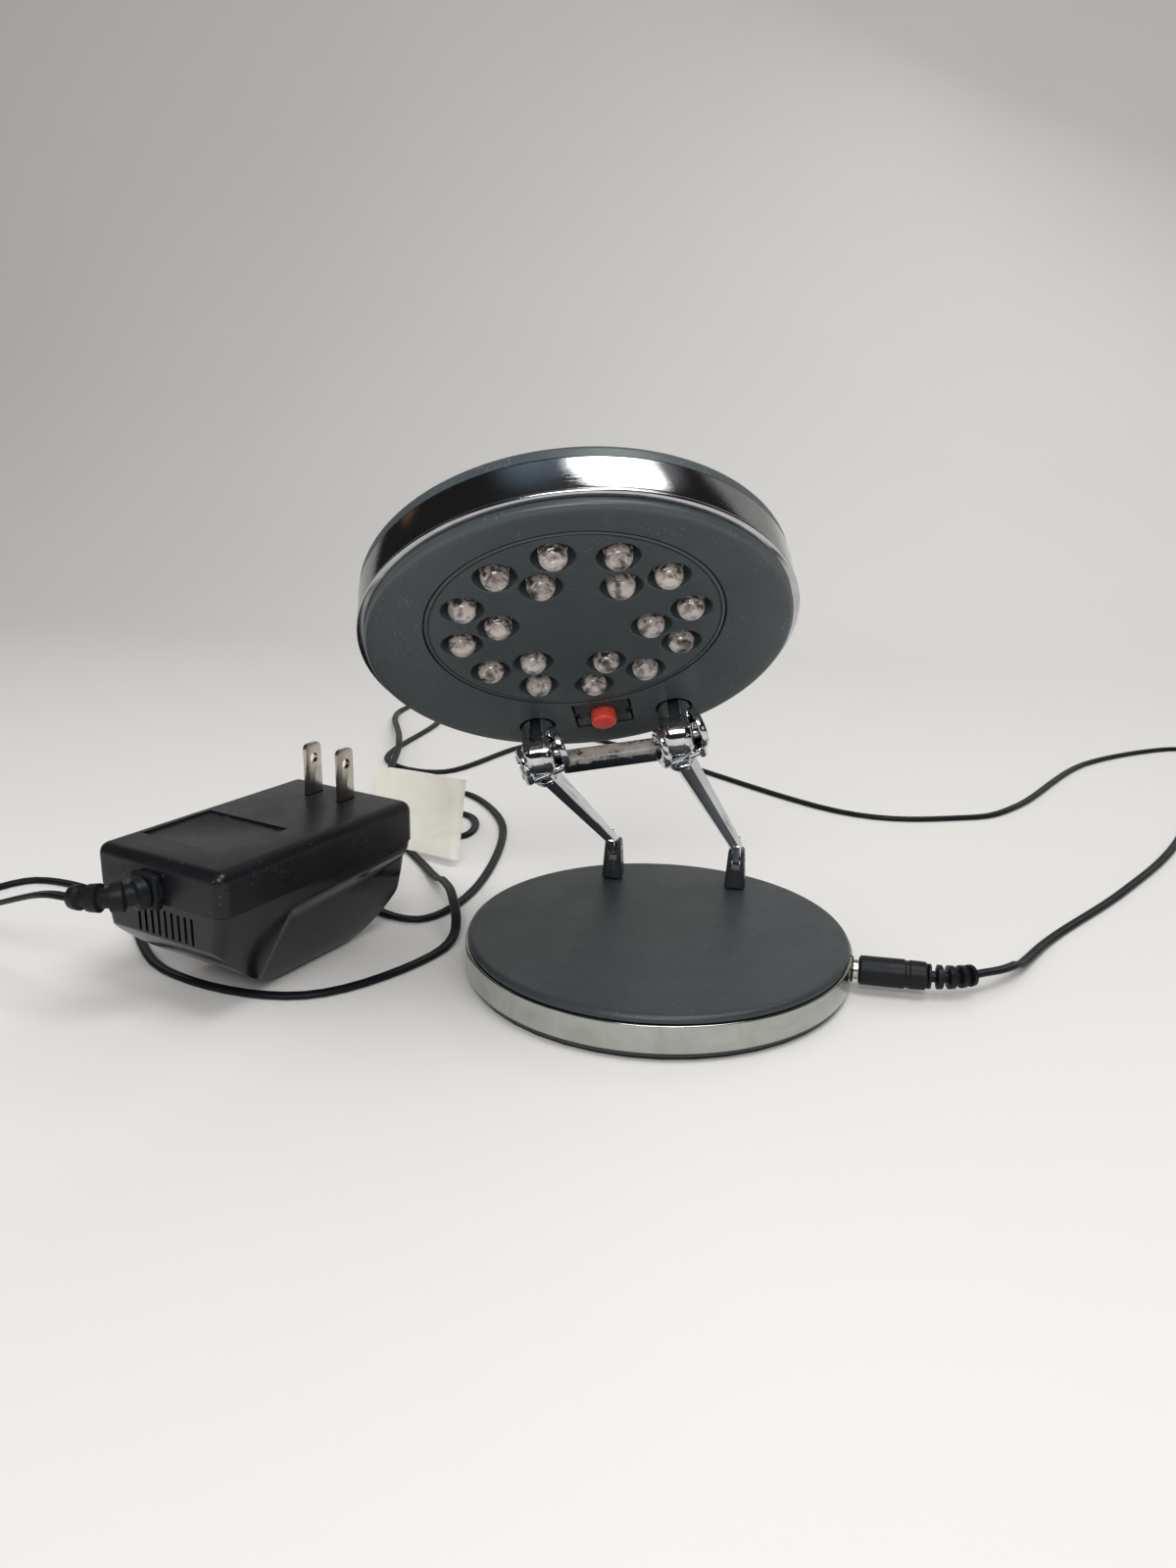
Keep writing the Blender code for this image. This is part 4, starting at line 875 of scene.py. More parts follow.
def makeBracket(side, sign):
    # a round neck with a deep front slot, running into a knuckle of three leaves
    a = armSettings
    x = sign * hinge["hubSpacing"] / 2
    z = hinge["drop"]
    knuckle = addRod(
        f"bracket{side}Knuckle", a["knuckle"], a["knuckleWidth"], (x, 0, 0), "X", 72, bevel=2.4 * mm
    )
    neckTop = z + 3.4 * mm
    neck = addRod("neck", a["neck"], neckTop, (x, 0, neckTop / 2), "Z", 64)
    boolean(knuckle, neck, "UNION")
    place = (x - sign * 0.9 * mm, -4.9 * mm, z + 3.5 * mm)
    flange = addBlock("flange", (10.6 * mm, 18.2 * mm, 1.6 * mm), place, 0.2 * mm, 2)
    boolean(knuckle, flange, "UNION")
    slotLow = 1.2 * mm
    slotHigh = z + 2.4 * mm
    slotCut = addBlock(
        "slotCut", (a["slot"], 4 * mm, slotHigh - slotLow),
        (x, -a["neck"] - 2 * mm + a["slotDepth"], (slotLow + slotHigh) / 2), 0.25 * mm, 2,
    )
    boolean(knuckle, slotCut)
    for seamSign in (-1, 1):
        ring = turnedPiece("seam", [
            (a["knuckle"] - 0.6 * mm, -0.15 * mm), (a["knuckle"] + 2 * mm, -0.15 * mm),
            (a["knuckle"] + 2 * mm, 0.15 * mm), (a["knuckle"] - 0.6 * mm, 0.15 * mm),
        ], steps=72, closed=True)
        settle(ring, Matrix.Translation((x + seamSign * a["seam"], 0, 0)) @ turnAbout(90, "Y"))
        boolean(knuckle, ring)
    boolean(knuckle, addRod("bore", a["pin"] + 0.3 * mm, 12 * mm, (x, 0, 0), "X", 32))
    smooth(settle(knuckle, hingeMatrix), 30)
    # a black block at the back of the slot is painted shade: it stands for the dark inside of the slot
    slotShade = addBlock(
        f"bracket{side}SlotShade", (a["slot"] - 0.1 * mm, 0.4 * mm, slotHigh - slotLow - 0.3 * mm),
        (x, -a["neck"] + a["slotDepth"] - 0.15 * mm, (slotLow + slotHigh) / 2), 0.1 * mm, 1,
    )
    settle(slotShade, hingeMatrix)
    return knuckle, slotShade


def armFrames(sign):
    foot = Vector((sign * lug["spacing"] / 2, lug["y"], lug["pinZ"]))
    hub = hingeMatrix @ Vector((sign * hinge["hubSpacing"] / 2, 0, 0))
    axis = (hingeMatrix.to_3x3() @ Vector((1, 0, 0))).normalized()
    down = foot - hub
    down = (down - axis * down.dot(axis)).normalized()
    fork = frameOf(hub, axis, down.cross(axis), down)
    up = hub - foot
    up = Vector((0, up.y, up.z)).normalized()
    side = Vector((1, 0, 0))
    heel = frameOf(foot, side, up.cross(side), up)
    return fork, heel, axis


def makeArm(side, sign):
    a = armSettings
    fork, heel, axis = armFrames(sign)
    # the racked arms stand turned about their own length, open side to the front
    toCamera = Vector(cameraSettings["place"]) - fork.to_translation()
    leftward = min((-1, 1), key=lambda way: (
        fork @ turnAbout(way * a["turn"], "Z")
    ).to_3x3().col[0].dot(toCamera))
    fork = fork @ turnAbout(leftward * a["turn"], "Z")
    yokeLow = a["knuckle"] + a["yokeClear"]
    yokeTop = yokeLow + a["yokeThick"]
    outer = a["cheekX"] + a["cheekThick"] / 2
    arm = addBlock(
        f"arm{side}Bar", (2 * outer - 1.2 * mm, a["yokeDepth"], a["yokeThick"]),
        (0, 0, yokeLow + a["yokeThick"] / 2), 1.2 * mm, 4,
    )
    cup = addRod("cup", a["cheek"], a["cheekThick"], (a["cheekX"], 0, 0), "X", 80, bevel=0.55 * mm)
    web = addBlock(
        "web", (a["cheekThick"] - 0.1 * mm, a["yokeDepth"] + 2 * mm, yokeTop - 0.3 * mm),
        (a["cheekX"], 0, (yokeTop - 0.3 * mm) / 2), 0.5 * mm, 3,
    )
    boolean(cup, web, "UNION")
    dish = addRod("dish", a["dish"], 2 * a["dishDepth"], (a["cheekX"] - a["cheekThick"] / 2, 0, 0), "X", 80)
    boolean(cup, dish)
    boolean(arm, cup, "UNION")
    # the other cheek: an eye at the pin, a full lobe below it, and a pointed lip
    eye = addRod("eye", 4.6 * mm, 1.8 * mm, (-a["cheekX"] + 0.7 * mm, 0, 0.8 * mm), "X", 64, bevel=0.8 * mm)
    place = (-a["cheekX"] + 0.7 * mm, 0, a["lobeDrop"])
    lobe = addRod("lobe", a["lobe"], 2.6 * mm, place, "X", 64, bevel=1.0 * mm)
    lip = addRod("lip", 2.6 * mm, 4.6 * mm, (0, 0, 0), "Z", 28, 0.25 * mm)
    lip.scale = (0.55, 1, 1)
    lip.rotation_euler = (0, 0.30, 0)
    lip.location = (-a["cheekX"] + 1.3 * mm, -0.2 * mm, a["lobeDrop"] + 5.4 * mm)
    settle(lip)
    for part in (eye, lobe, lip):
        boolean(arm, part, "UNION")
    for rise, radius in ((0.5 * mm, 3.9 * mm), (1.7 * mm, 3.75 * mm)):
        collar = addRod("collar", radius, 0.8 * mm, (0, 0, yokeTop + rise), "Z", 40, bevel=0.25 * mm)
        boolean(arm, collar, "UNION")
    boolean(arm, addRod("pinHole", a["pin"] + 0.3 * mm, 30 * mm, (0, 0, 0), "X", 32))
    settle(arm, fork)

    neckTop = heel @ Vector((0, 0, a["heelNeck"]))
    yokeMid = fork @ Vector((0, 0, yokeLow + a["yokeThick"] / 2))
    run = yokeMid - neckTop
    along = run.normalized()
    across = (axis - along * axis.dot(along)).normalized()
    shank = addRod("shank", a["foot"], run.length, (0, 0, run.length / 2), "Z", 6, a["top"])
    shank.rotation_euler = (0, 0, math.pi / 6)
    settle(shank)
    bevelEdges(shank, 0.25 * mm, 2, 20)
    settle(shank, frameOf(neckTop, across, along.cross(across), along))
    boolean(arm, shank, "UNION")

    reach = a["heelNeck"] + a["tongueRadius"]
    tongue = addRod("tongue", a["tongueRadius"], a["tongue"], (0, 0, 0), "X", 48, bevel=0.2 * mm, segments=2)
    size = (a["tongue"] - 0.02 * mm, 2 * a["tongueRadius"] * 0.92, reach)
    neck = addBlock("neck", size, (0, 0, reach / 2), 0.2 * mm, 2)
    boolean(tongue, neck, "UNION")
    boolean(tongue, addRod("tongueEye", 1.3 * mm, 6 * mm, (0, 0, 0), "X", 24))
    settle(tongue, heel)
    boolean(arm, tongue, "UNION")
    return smooth(arm, 28)


crossbarSettings = {"slant": 15.4, **millimetres(drop=4.4, deep=5.8, high=4.6, short=0.4)}


def makeCrossbar():
    c = crossbarSettings
    inner = hinge["hubSpacing"] / 2 - armSettings["cheekX"]
    bar = addBlock("armCrossbar", (2 * inner - c["short"], c["deep"], c["high"]), (0, 0, 0), 0.7 * mm, 3)
    slope = turnAbout(-c["slant"], "X")
    return smooth(settle(bar, hingeMatrix @ slope @ Matrix.Translation((0, c["drop"], 0))), 30)


def makeHubPin(side, sign):
    a = armSettings
    inner = hinge["hubSpacing"] / 2 - a["cheekX"] - a["cheekThick"] / 2
    outer = hinge["hubSpacing"] / 2 + a["cheekX"] + a["cheekThick"] / 2 - 0.5 * mm
    middle = (sign * (inner + outer) / 2, 0, 0)
    pin = addRod(f"hubPin{side}Rivet", a["pin"], outer - inner, middle, "X", 32, bevel=0.3 * mm)
    return smooth(settle(pin, hingeMatrix), 35)


def makeLug(side, sign):
    # a tapered block with soft edges, a slot across its top and an eye for the pin
    x = sign * lug["spacing"] / 2
    high = lug["height"] - 0.3 * mm
    post = addBlock(f"lug{side}Post", (6.5 * mm, 6.6 * mm, high), (0, 0, high / 2))
    editing(post)
    bpy.ops.mesh.select_mode(type="FACE")
    bpy.ops.mesh.select_all(action="DESELECT")
    doneEditing()
    for polygon in post.data.polygons:
        polygon.select = polygon.normal.z > 0.9
    bpy.ops.object.mode_set(mode="EDIT")
    bpy.ops.transform.resize(value=(4.9 / 6.5, 5.2 / 6.6, 1), center_override=(0, 0, high))
    doneEditing()
    bevelEdges(post, 0.9 * mm, 4)
    boolean(post, addBlock("slot", (2.6 * mm, 9 * mm, 6.6 * mm), (0, 0, high - 3.0 * mm), 0.15 * mm, 2))
    boolean(post, addRod("eye", 1.3 * mm, 9 * mm, (0, 0, lug["pinZ"] - base["top"] - 0.3 * mm), "X", 32))
    stem = addRod("stem", 2.1 * mm, 4.0 * mm, (0, 0, -1.6 * mm), "Z", 32)
    boolean(post, stem, "UNION")
    return smooth(settle(post, Matrix.Translation((x, lug["y"], base["top"] + 0.3 * mm))), 30)


# Base

def makeBasePieces():
    b = base
    band = turnedPiece("baseTrim", [
        (b["radius"] - 1.6 * mm, b["bandHigh"]),
        *arcPoints((b["radius"] - 0.35 * mm, b["bandHigh"] - 0.35 * mm), 0.35 * mm, 90, 0, 4),
        *arcPoints((b["radius"] - 0.35 * mm, b["bandLow"] + 0.35 * mm), 0.35 * mm, 0, -90, 4),
        (b["radius"] - 1.6 * mm, b["bandLow"]),
    ], steps=256, closed=True)
    jackHole = addRod("jackHole", 3.95 * mm, 8 * mm, (b["radius"], jack["y"], jack["z"]), "X", 48)
    boolean(band, jackHole)
    smooth(band, 35)

    cover = turnedPiece("baseTop", [
        (0.4 * mm, b["top"]), (30 * mm, b["top"]), (b["coverRadius"] - 3 * mm, b["top"]),
        *arcPoints((b["coverRadius"] - 1.5 * mm, b["top"] - 1.5 * mm), 1.5 * mm, 90, 0, 7),
        (b["coverRadius"], b["coverLow"]), (53.1 * mm, b["coverLow"]), (53.1 * mm, 6.4 * mm),
        (51.3 * mm, 6.4 * mm), (51.3 * mm, b["coverLow"]), (0.4 * mm, b["coverLow"]),
    ], steps=224)
    capBothEnds(cover)
    for sign in (-1, 1):
        hole = addRod("stemHole", 2.4 * mm, 6 * mm, (sign * lug["spacing"] / 2, lug["y"], b["top"]), "Z", 32)
        boolean(cover, hole)
    jackPlace = (b["radius"] - 5 * mm, jack["y"], jack["z"])
    boolean(cover, addRod("jackRoom", 3.9 * mm, 14 * mm, jackPlace, "X", 48))
    smooth(cover, 30)

    plate = turnedPiece("baseTray", [
        (0.4 * mm, b["plateLow"]), (b["plateRadius"] - 0.3 * mm, b["plateLow"]),
        (b["plateRadius"], b["plateLow"] + 0.25 * mm), (b["plateRadius"], 1.9 * mm),
        (53.1 * mm, 1.9 * mm), (53.1 * mm, 6.1 * mm), (51.3 * mm, 6.1 * mm), (51.3 * mm, 2.7 * mm),
        (0.4 * mm, 2.7 * mm),
    ], steps=224)
    capBothEnds(plate)
    for index in range(3):
        angle = math.radians(30 + 120 * index)
        place = (44.5 * mm * math.cos(angle), 44.5 * mm * math.sin(angle), 0.9 * mm)
        boolean(plate, addRod("screwSink", 2.6 * mm, 3.8 * mm, place, "Z", 32))
    boolean(plate, addRod("jackRoom", 3.9 * mm, 14 * mm, jackPlace, "X", 48))
    smooth(plate, 30)
    return band, cover, plate


# Plug

def ribbedTube(name, path, rootRadius, tipRadius, ribs, grooveShare, sides=7, perSpan=14):
    # ribs are wide rings with narrower necks between them, on a taper
    fine = smoothPath(path, perSpan)
    last = len(fine) - 1
    radii = []
    for index in range(last + 1):
        share = index / last
        radius = rootRadius + (tipRadius - rootRadius) * share
        wave = 0.5 + 0.5 * math.cos(share * (ribs - 0.5) * math.tau)
        ridge = min(1.0, max(0.0, (wave - 0.36) * 7))
        radii.append(radius * (grooveShare + (1 - grooveShare) * ridge))
    tube = tubeAlong(name, fine, radii, sides)
    return smooth(fixNormals(tube), 50)


def makePlug():
    bodyLow = jack["mouth"] + 1.6 * mm
    bodyHigh = bodyLow + 18.3 * mm
    body = turnedPiece("plugGrip", [
        (1.3 * mm, bodyLow), (3.5 * mm, bodyLow), (4.05 * mm, bodyLow + 0.5 * mm),
        (4.1 * mm, bodyLow + 12.2 * mm), (3.75 * mm, bodyLow + 12.6 * mm), (3.75 * mm, bodyLow + 13.4 * mm),
        (4.0 * mm, bodyLow + 13.8 * mm), (3.9 * mm, bodyHigh - 0.5 * mm), (3.5 * mm, bodyHigh),
        (0.4 * mm, bodyHigh),
    ], steps=48)
    capBothEnds(body)
    turn = Matrix.Translation((0, jack["y"], jack["z"])) @ turnAbout(90, "Y")
    smooth(settle(body, turn), 30)
    barrelHigh = bodyLow - 0.3 * mm
    barrelLow = barrelHigh - 7.9 * mm
    barrel = turnedPiece("plugSleeve", [
        (1.25 * mm, barrelHigh), (2.75 * mm, barrelHigh), (2.75 * mm, barrelLow + 0.3 * mm),
        (2.45 * mm, barrelLow), (1.25 * mm, barrelLow),
    ], steps=48, closed=True)
    smooth(settle(barrel, turn), 30)
    start = Vector((bodyHigh + 0.3 * mm, jack["y"], jack["z"]))
    reach = 12.9 * mm
    shares = [(0, 0), (0.27, 0.016), (0.54, 0.078), (0.80, 0.186), (1, 0.302)]
    route = [start + reach * Vector((ahead, aside, 0)) for ahead, aside in shares]
    relief = ribbedTube("plugBoot", route, 3.5 * mm, 3.0 * mm, 5, 0.46)
    return body, barrel, relief


# Adapter

adapterDetails = {
    "plate": (-4 * mm, -14 * mm, 30 * mm, 24 * mm),
    **millimetres(
        corner=3.2, wall=2.2, inset=0.4, keelWidth=24, frontFlat=-2, backFlat=13, frontRise=20, backRise=15,
        scoop=1.6, bladeY=27, bladeSpacing=12.5, bladeRise=15.7,
    ),
}


def makeAdapterCap():
    c = adapterDetails
    low = adapter["height"] - adapter["capDepth"]
    cap = addBlock("adapterTop", (adapter["width"], adapter["length"], adapter["capDepth"]), (0, 0, 0))
    cap.location = (0, 0, low + adapter["capDepth"] / 2)
    settle(cap)
    bevelChosen(cap, c["corner"], 6, lambda first, second: max(first.z, second.z) > low + 1 * mm)
    room = addBlock(
        "capRoom", (adapter["width"] - 2 * c["wall"], adapter["length"] - 2 * c["wall"], adapter["capDepth"]),
        (0, 0, low + adapter["capDepth"] / 2 - c["wall"]), 1.2 * mm, 3,
    )
    boolean(cap, room)
    x, y, wide, long = c["plate"]
    # the bare nameplate: a shallow step whose far edges are deeper
    sink = addBlock("plateSink", (wide, long, 1.5 * mm), (x, y, adapter["height"]), 0.15 * mm, 2)
    boolean(cap, sink)
    for sign in (-1, 1):
        place = (sign * c["bladeSpacing"] / 2, c["bladeY"], adapter["height"])
        boolean(cap, addBlock("bladeSlot", (2.1 * mm, 6.9 * mm, 8 * mm), place))
    return smooth(settle(cap, adapterMatrix), 30)


def makeAdapterHull():
    # a rounded block is divided finely, then drawn in to its curved keel and its side panels
    c = adapterDetails
    high = adapter["height"] - adapter["capDepth"] - 0.3 * mm
    half = adapter["length"] / 2 - c["inset"]
    topHalf = adapter["width"] / 2 - c["inset"]
    hull = addBlock("adapterBase", (2 * topHalf, 2 * half, high), (0, 0, high / 2))
    bevelChosen(hull, 3.0 * mm, 6, lambda first, second: abs(first.z - second.z) > high / 2)
    editing(hull)
    for normal, span, count in (((0, 1, 0), half, 90), ((0, 0, 1), high / 2, 34), ((1, 0, 0), topHalf, 24)):
        for step in range(1, count):
            shift = -span + 2 * span * step / count + (high / 2 if normal[2] else 0)
            bpy.ops.mesh.select_all(action="SELECT")
            bpy.ops.mesh.bisect(plane_co=[shift * part for part in normal], plane_no=normal)
    doneEditing()
    keelHalf = c["keelWidth"] / 2
    for vertex in hull.data.vertices:
        x, y, z = vertex.co
        if y < c["frontFlat"]:
            keel = c["frontRise"] * ((c["frontFlat"] - y) / (half + c["frontFlat"])) ** 2
        elif y > c["backFlat"]:
            keel = c["backRise"] * ((y - c["backFlat"]) / (half - c["backFlat"])) ** 2
        else:
            keel = 0
        rise = keel + (high - keel) * (z / high)
        reach = keelHalf + (topHalf - keelHalf) * math.sqrt(max(0, rise / high))
        side = abs(x) / topHalf
        # the side panel's edge climbs steeply near the front and then runs on to the back
        edge = 22.5 * mm + 5.5 * mm * (y + half) / (2 * half)
        steep = (y + 21 * mm) / (9 * mm)
        edge = min(edge, edge * max(0, min(1, steep)) ** 0.55) if steep < 1 else edge
        inside = max(0, min(1, (edge - rise) / (4.2 * mm)))
        inside = inside * inside * (3 - 2 * inside)
        push = c["scoop"] * inside * max(0, (side - 0.72) / 0.28)
        vertex.co = (math.copysign(1, x) * max(0, side * reach - push), y, rise)
    for index in range(9):
        x = -8 * mm + 2.45 * mm * index
        place = (x, -half, high - 5.6 * mm)
        boolean(hull, addBlock("ventSlot", (1.0 * mm, 2.4 * mm, 7.5 * mm), place, 0.3 * mm, 2))
    return smooth(settle(hull, adapterMatrix), 70)


def makeBlade(side, sign):
    c = adapterDetails
    low = adapter["height"] - 5 * mm
    high = adapter["height"] + c["bladeRise"]
    x = sign * c["bladeSpacing"] / 2
    blade = addBlock(
        f"blade{side}Prong", (1.5 * mm, 6.3 * mm, high - low), (x, c["bladeY"], (low + high) / 2),
    )
    bevelChosen(blade, 1.7 * mm, 5, lambda first, second: (
        min(first.z, second.z) > high - 1 * mm and abs(first.x - second.x) > 1 * mm
    ))
    bevelEdges(blade, 0.18 * mm, 2, 50)
    boolean(blade, addRod("bladeEye", 1.55 * mm, 6 * mm, (x, c["bladeY"], high - 4.6 * mm), "X", 32))
    return smooth(settle(blade, adapterMatrix), 30)


def makeAdapterRelief():
    start = Vector((-2 * mm, -adapter["length"] / 2 - 0.3 * mm, 33.5 * mm))
    reach = 14.6 * mm
    shares = [
        (0, 0, 0), (0, 0.247, 0), (0.108, 0.496, 0.007), (0.388, 0.711, 0.020),
        (0.719, 0.821, 0.048), (1, 0.848, 0.089),
    ]
    route = [adapterMatrix @ (start - reach * Vector(share)) for share in shares]
    relief = ribbedTube("adapterBoot", route, 4.9 * mm, 3.1 * mm, 5, 0.70)
    place = (start.x, start.y - 1.2 * mm, start.z)
    root = addBlock("reliefRoot", (9.2 * mm, 2.6 * mm, 9.4 * mm), place, 0.8 * mm, 3)
    settle(root, adapterMatrix)
    boolean(relief, root, "UNION")
    smooth(relief, 40)
    return relief


# Tag

tagSettings = {
    "right": (-76.5 * mm, 61.0 * mm, 3.6 * mm), "left": (-119.5 * mm, 81.0 * mm, 0.4 * mm),
    **millimetres(height=28.6, lean=7.5, thick=0.25, curl=4.0), "curlStart": 0.86, "curlTurn": 1.5,
}


def tagFrame():
    right = Vector(tagSettings["right"])
    left = Vector(tagSettings["left"])
    across = (right - left).normalized()
    back = Vector((-across.y, across.x, 0)).normalized()
    if back.y < 0:
        back = -back
    rise = (Vector((0, 0, tagSettings["height"])) + back * tagSettings["lean"]).normalized()
    rise = (rise - across * rise.dot(across)).normalized()
    centre = (left + right) / 2 + rise * tagSettings["height"] / 2
    return frameOf(centre, across, rise, across.cross(rise)), (right - left).length


def makeTag():
    # a film label folded over the lead: gently bowed, with its right edge curled back
    matrix, width = tagFrame()
    t = tagSettings
    deselectAll()
    bpy.ops.mesh.primitive_grid_add(x_subdivisions=60, y_subdivisions=36, size=1)
    tag = named("cordLabel")
    tag.scale = (width, t["height"], 1)
    settle(tag)
    for vertex in tag.data.vertices:
        x, y, _ = vertex.co
        u = x / width + 0.5
        v = y / t["height"] + 0.5
        bow = 0.9 * mm * math.sin(math.pi * u) * (0.4 + 0.6 * v) + 0.35 * mm * math.sin(5 * u + 3 * v)
        bend = max(0, (u - t["curlStart"]) / (1 - t["curlStart"]))
        angle = bend * t["curlTurn"]
        radius = t["curl"] * 0.62
        start = width * t["curlStart"] - width / 2
        if bend > 0:
            x = start + radius * math.sin(angle)
        vertex.co = (x, y + 0.3 * mm * math.sin(4 * u), bow - (radius * (1 - math.cos(angle)) if bend else 0))
    solid = tag.modifiers.new("film", "SOLIDIFY")
    solid.thickness = t["thick"]
    applyAll(tag)
    return smooth(settle(tag, matrix), 40)


# Room

stageSettings = {"place": (0, 0.1, -0.15 * mm), "size": (4.0, 1.9, 1), "wall": (0, 0.25, 2.2), "sweep": 0.55}


def makeStage():
    deselectAll()
    bpy.ops.mesh.primitive_plane_add(size=1, location=stageSettings["place"])
    sweep = named("tableAndWall")
    sweep.scale = stageSettings["size"]
    settle(sweep)
    bpy.ops.object.mode_set(mode="EDIT")
    bpy.ops.mesh.select_mode(type="EDGE")
    bpy.ops.mesh.select_all(action="DESELECT")
    doneEditing()
    for edge in sweep.data.edges:
        ends = [sweep.data.vertices[index].co.y for index in edge.vertices]
        edge.select = min(ends) > 1
    bpy.ops.object.mode_set(mode="EDIT")
    bpy.ops.mesh.extrude_region_move(TRANSFORM_OT_translate={"value": stageSettings["wall"]})
    doneEditing()
    bevel = sweep.modifiers.new("sweep", "BEVEL")
    bevel.width = stageSettings["sweep"]
    bevel.segments = 24
    bevel.limit_method = "ANGLE"
    applyAll(sweep)
    smooth(sweep, 60)
    material, tree, shader, place = newMaterial("paleTable")
    grain = placeGroup(tree, mouldedSkin, Vector=place, Grain=900.0, Depth=0.35, Roughness=0.62)
    soft = noise(tree, place, Scale=2.2, Detail=3.0)
    dress(shader, {
        "Base Color": mixColours(tree, soft, (0.58, 0.572, 0.555), (0.65, 0.64, 0.622)),
        "Roughness": grain["Roughness"], "Normal": grain["Normal"], "Specular IOR Level": 0.25,
    })
    sweep.data.materials.append(material)


lightSettings = {
    "panels": [
        # name, place, aim, size, watts, shown in the chrome
        ("overheadPanel", (0.22, -0.12, 0.90), (0, 0.02, 0.05), (0.42, 0.42), 4.1, True),
        ("leftPanel", (-0.75, -0.45, 0.50), (0, 0, 0.03), (0.6, 0.6), 1.7, False),
        ("backPanel", (0.35, 0.75, 0.75), (0, 0.1, 0.05), (0.7, 0.4), 2.5, False),
        ("windowPanel", (0.06, -0.72, 0.62), (-0.02, -0.02, 0.10), (0.46, 0.26), 4.0, True),
    ],
    "roomFront": (0.60, 0.59, 0.59), "roomBack": (0.80, 0.80, 0.81), "strength": 0.77,
    "chromeDark": (0.022, 0.021, 0.022), "chromeBack": (0.50, 0.50, 0.51),
    "windows": [
        # aim, full within and gone beyond these degrees, colour
        ((-0.28, -0.12, 0.95), 3, 17, (0.20, 0.27, 0.34)),
        ((0.46, 0.12, 0.88), 5, 13, (0.30, 0.30, 0.31)),
        ((-0.89, 0.25, 0.37), 0.8, 2.5, (0.75, 0.42, 0.14)),
        ((0.62, -0.74, 0.22), 6, 11, (0.95, 0.95, 0.97)),
        ((-0.72, -0.60, 0.30), 5, 10, (0.75, 0.78, 0.82)),
        ((0.05, -0.85, 0.52), 4, 9, (0.65, 0.65, 0.66)),
    ],
}


def makeLights():
    s = lightSettings
    for name, place, aim, size, watts, shown in s["panels"]:
        deselectAll()
        bpy.ops.object.light_add(type="AREA", location=place)
        lamp = named(name)
        lamp.data.shape = "RECTANGLE"
        lamp.data.size, lamp.data.size_y = size
        lamp.data.energy = watts
        lamp.visible_glossy = shown
        lamp.rotation_euler = (Vector(aim) - Vector(place)).to_track_quat("-Z", "Y").to_euler()
    world = bpy.data.worlds.new("room")
    bpy.context.scene.world = world
    world.use_nodes = True
    tree = world.node_tree
    direction = tree.nodes.new("ShaderNodeTexCoord").outputs["Generated"]
    depth = addNode(tree, "ShaderNodeSeparateXYZ", Vector=direction).outputs["Y"]
    plain = mixColours(tree, mapped(tree, depth, -0.5, 0.6), s["roomFront"], s["roomBack"])
    # what the chrome shows: a dark room, a lighter back, and a few windows and panels
    shown = mixColours(tree, mapped(tree, depth, 0.5, 0.95), s["chromeDark"], s["chromeBack"])
    for aim, full, gone, tint in s["windows"]:
        facing = vectorNode(tree, "DOT_PRODUCT", direction, Vector(aim).normalized())["Value"]
        edge = mapped(tree, facing, math.cos(math.radians(gone)), math.cos(math.radians(full)))
        shown = mixColours(tree, edge, shown, tint)
    glossy = tree.nodes.new("ShaderNodeLightPath").outputs["Is Glossy Ray"]
    colour = mixColours(tree, glossy, plain, shown)
    dress(tree.nodes["Background"].inputs, {"Color": colour, "Strength": s["strength"]})
    bpy.context.scene.view_settings.view_transform = "Standard"


# Everything in order

makeCamera()
print("camera is set")
cordPiece, cordPath = makeCord()
materials = makeMaterials()
finishPiece(cordPiece, "base", "cordBlack", "cord_jacket", "cord")
print("cord is laid")

finishPiece(makeHeadFace(), "head", "greyPlastic", "grey_plastic", "head_face")
finishPiece(makeHeadBand(), "head", "headBandChrome", "smoky_chrome", "head_band")
finishPiece(makeHeadShell(), "head", "greyPlastic", "grey_plastic", "head_shell")
finishPiece(makeLedDisc(), "head", "discPlastic", "grey_plastic", "led_disc")
ledLamps, leadFrames = makeLeds()
for number, ledLamp in enumerate(ledLamps, 1):
    finishPiece(ledLamp, "head", "clearEpoxy", "clear_lens", f"led_{number:02d}")
finishPiece(leadFrames, "head", "reflectorPaintedGlow", "nickel")
print("head is built")

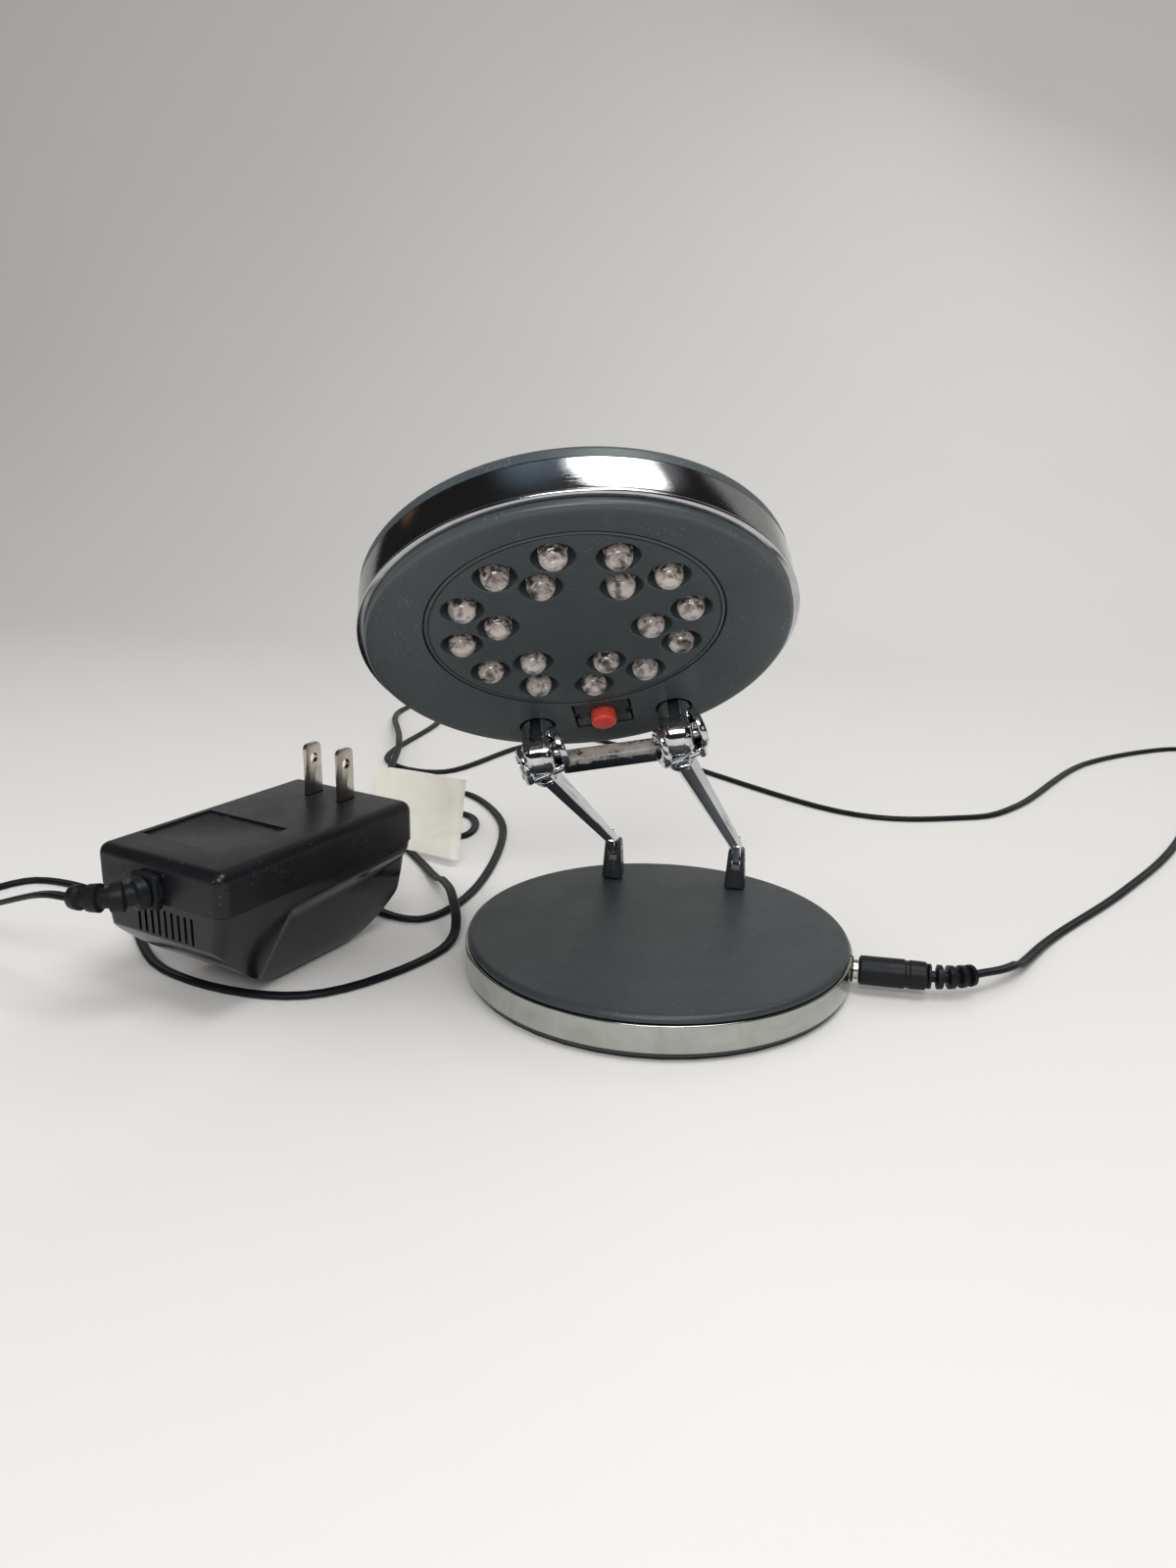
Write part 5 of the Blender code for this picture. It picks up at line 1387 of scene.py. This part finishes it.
switchFront, switchCap = makeSwitch()
finishPiece(switchFront, "head", "switchPlastic", "black_plastic", "switch_plate")
finishPiece(switchCap, "button", "redPlastic", "red_plastic", "switch_button")
for sideName, sideSign in (("left", -1), ("right", 1)):
    label = sideName.capitalize()
    knuckle, slotShade = makeBracket(label, sideSign)
    finishPiece(knuckle, "head", "chrome", "smoky_chrome", f"bracket_{sideName}")
    # the black block in the bracket's slot is painted shade
    finishPiece(slotShade, "head", "lugBlack", "black_plastic")
    finishPiece(makeArm(label, sideSign), "arms", "chrome", "smoky_chrome", f"arm_{sideName}")
    finishPiece(makeHubPin(label, sideSign), "arms", "steel", "steel", f"hub_pin_{sideName}")
    finishPiece(makeLug(label, sideSign), "base", "lugBlack", "black_metal", f"lug_{sideName}")
finishPiece(makeCrossbar(), "arms", "wornBar", "smoky_chrome", "crossbar")
print("arms are built")

baseBand, baseTop, baseTray = makeBasePieces()
finishPiece(baseBand, "base", "baseBandChrome", "smoky_chrome", "base_band")
finishPiece(baseTop, "base", "basePlastic", "grey_plastic", "base_cover")
finishPiece(baseTray, "base", "switchPlastic", "grey_plastic", "base_plate")
print("base is built")

plugGrip, plugSleeve, plugBoot = makePlug()
finishPiece(plugGrip, "base", "plugBlack", "black_plastic", "plug_body")
finishPiece(plugSleeve, "base", "nickel", "nickel", "plug_barrel")
finishPiece(plugBoot, "base", "plugBlack", "black_plastic", "plug_relief")
adapterTop = finishPiece(makeAdapterCap(), "base", "adapterBlack", "black_plastic", "adapter_cap")
adapterBase = finishPiece(makeAdapterHull(), "base", "hullBlack", "black_plastic", "adapter_hull")
adapterBoot = finishPiece(makeAdapterRelief(), "base", "plugBlack", "black_plastic", "adapter_relief")
prongs = [
    finishPiece(makeBlade(sideName, sideSign), "base", "nickel", "nickel", f"blade_{sideName.lower()}")
    for sideName, sideSign in (("Left", -1), ("Right", 1))
]
tag = finishPiece(makeTag(), "base", "labelFilm", "label_film", "cord_tag")
print("plug, adapter and tag are built")

keptFinishes = {
    "base_pad": "foamBlack", "base_weight": "steel", "base_screw_1": "steel", "base_screw_2": "steel",
    "base_screw_3": "steel", "jack_housing": "plugBlack", "lug_pin_left": "steel", "lug_pin_right": "steel",
    "bracket_screw_left": "steel", "bracket_screw_right": "steel", "led_board": "boardGreen",
    "switch_body": "switchPlastic", "transformer": "steel",
}
for nodeName, finishName in keptFinishes.items():
    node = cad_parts[nodeName]
    for materialSlot in node.material_slots:
        materialSlot.material = materials[finishName]
makeStage()
makeLights()
print("finishes, stage and lights are set")
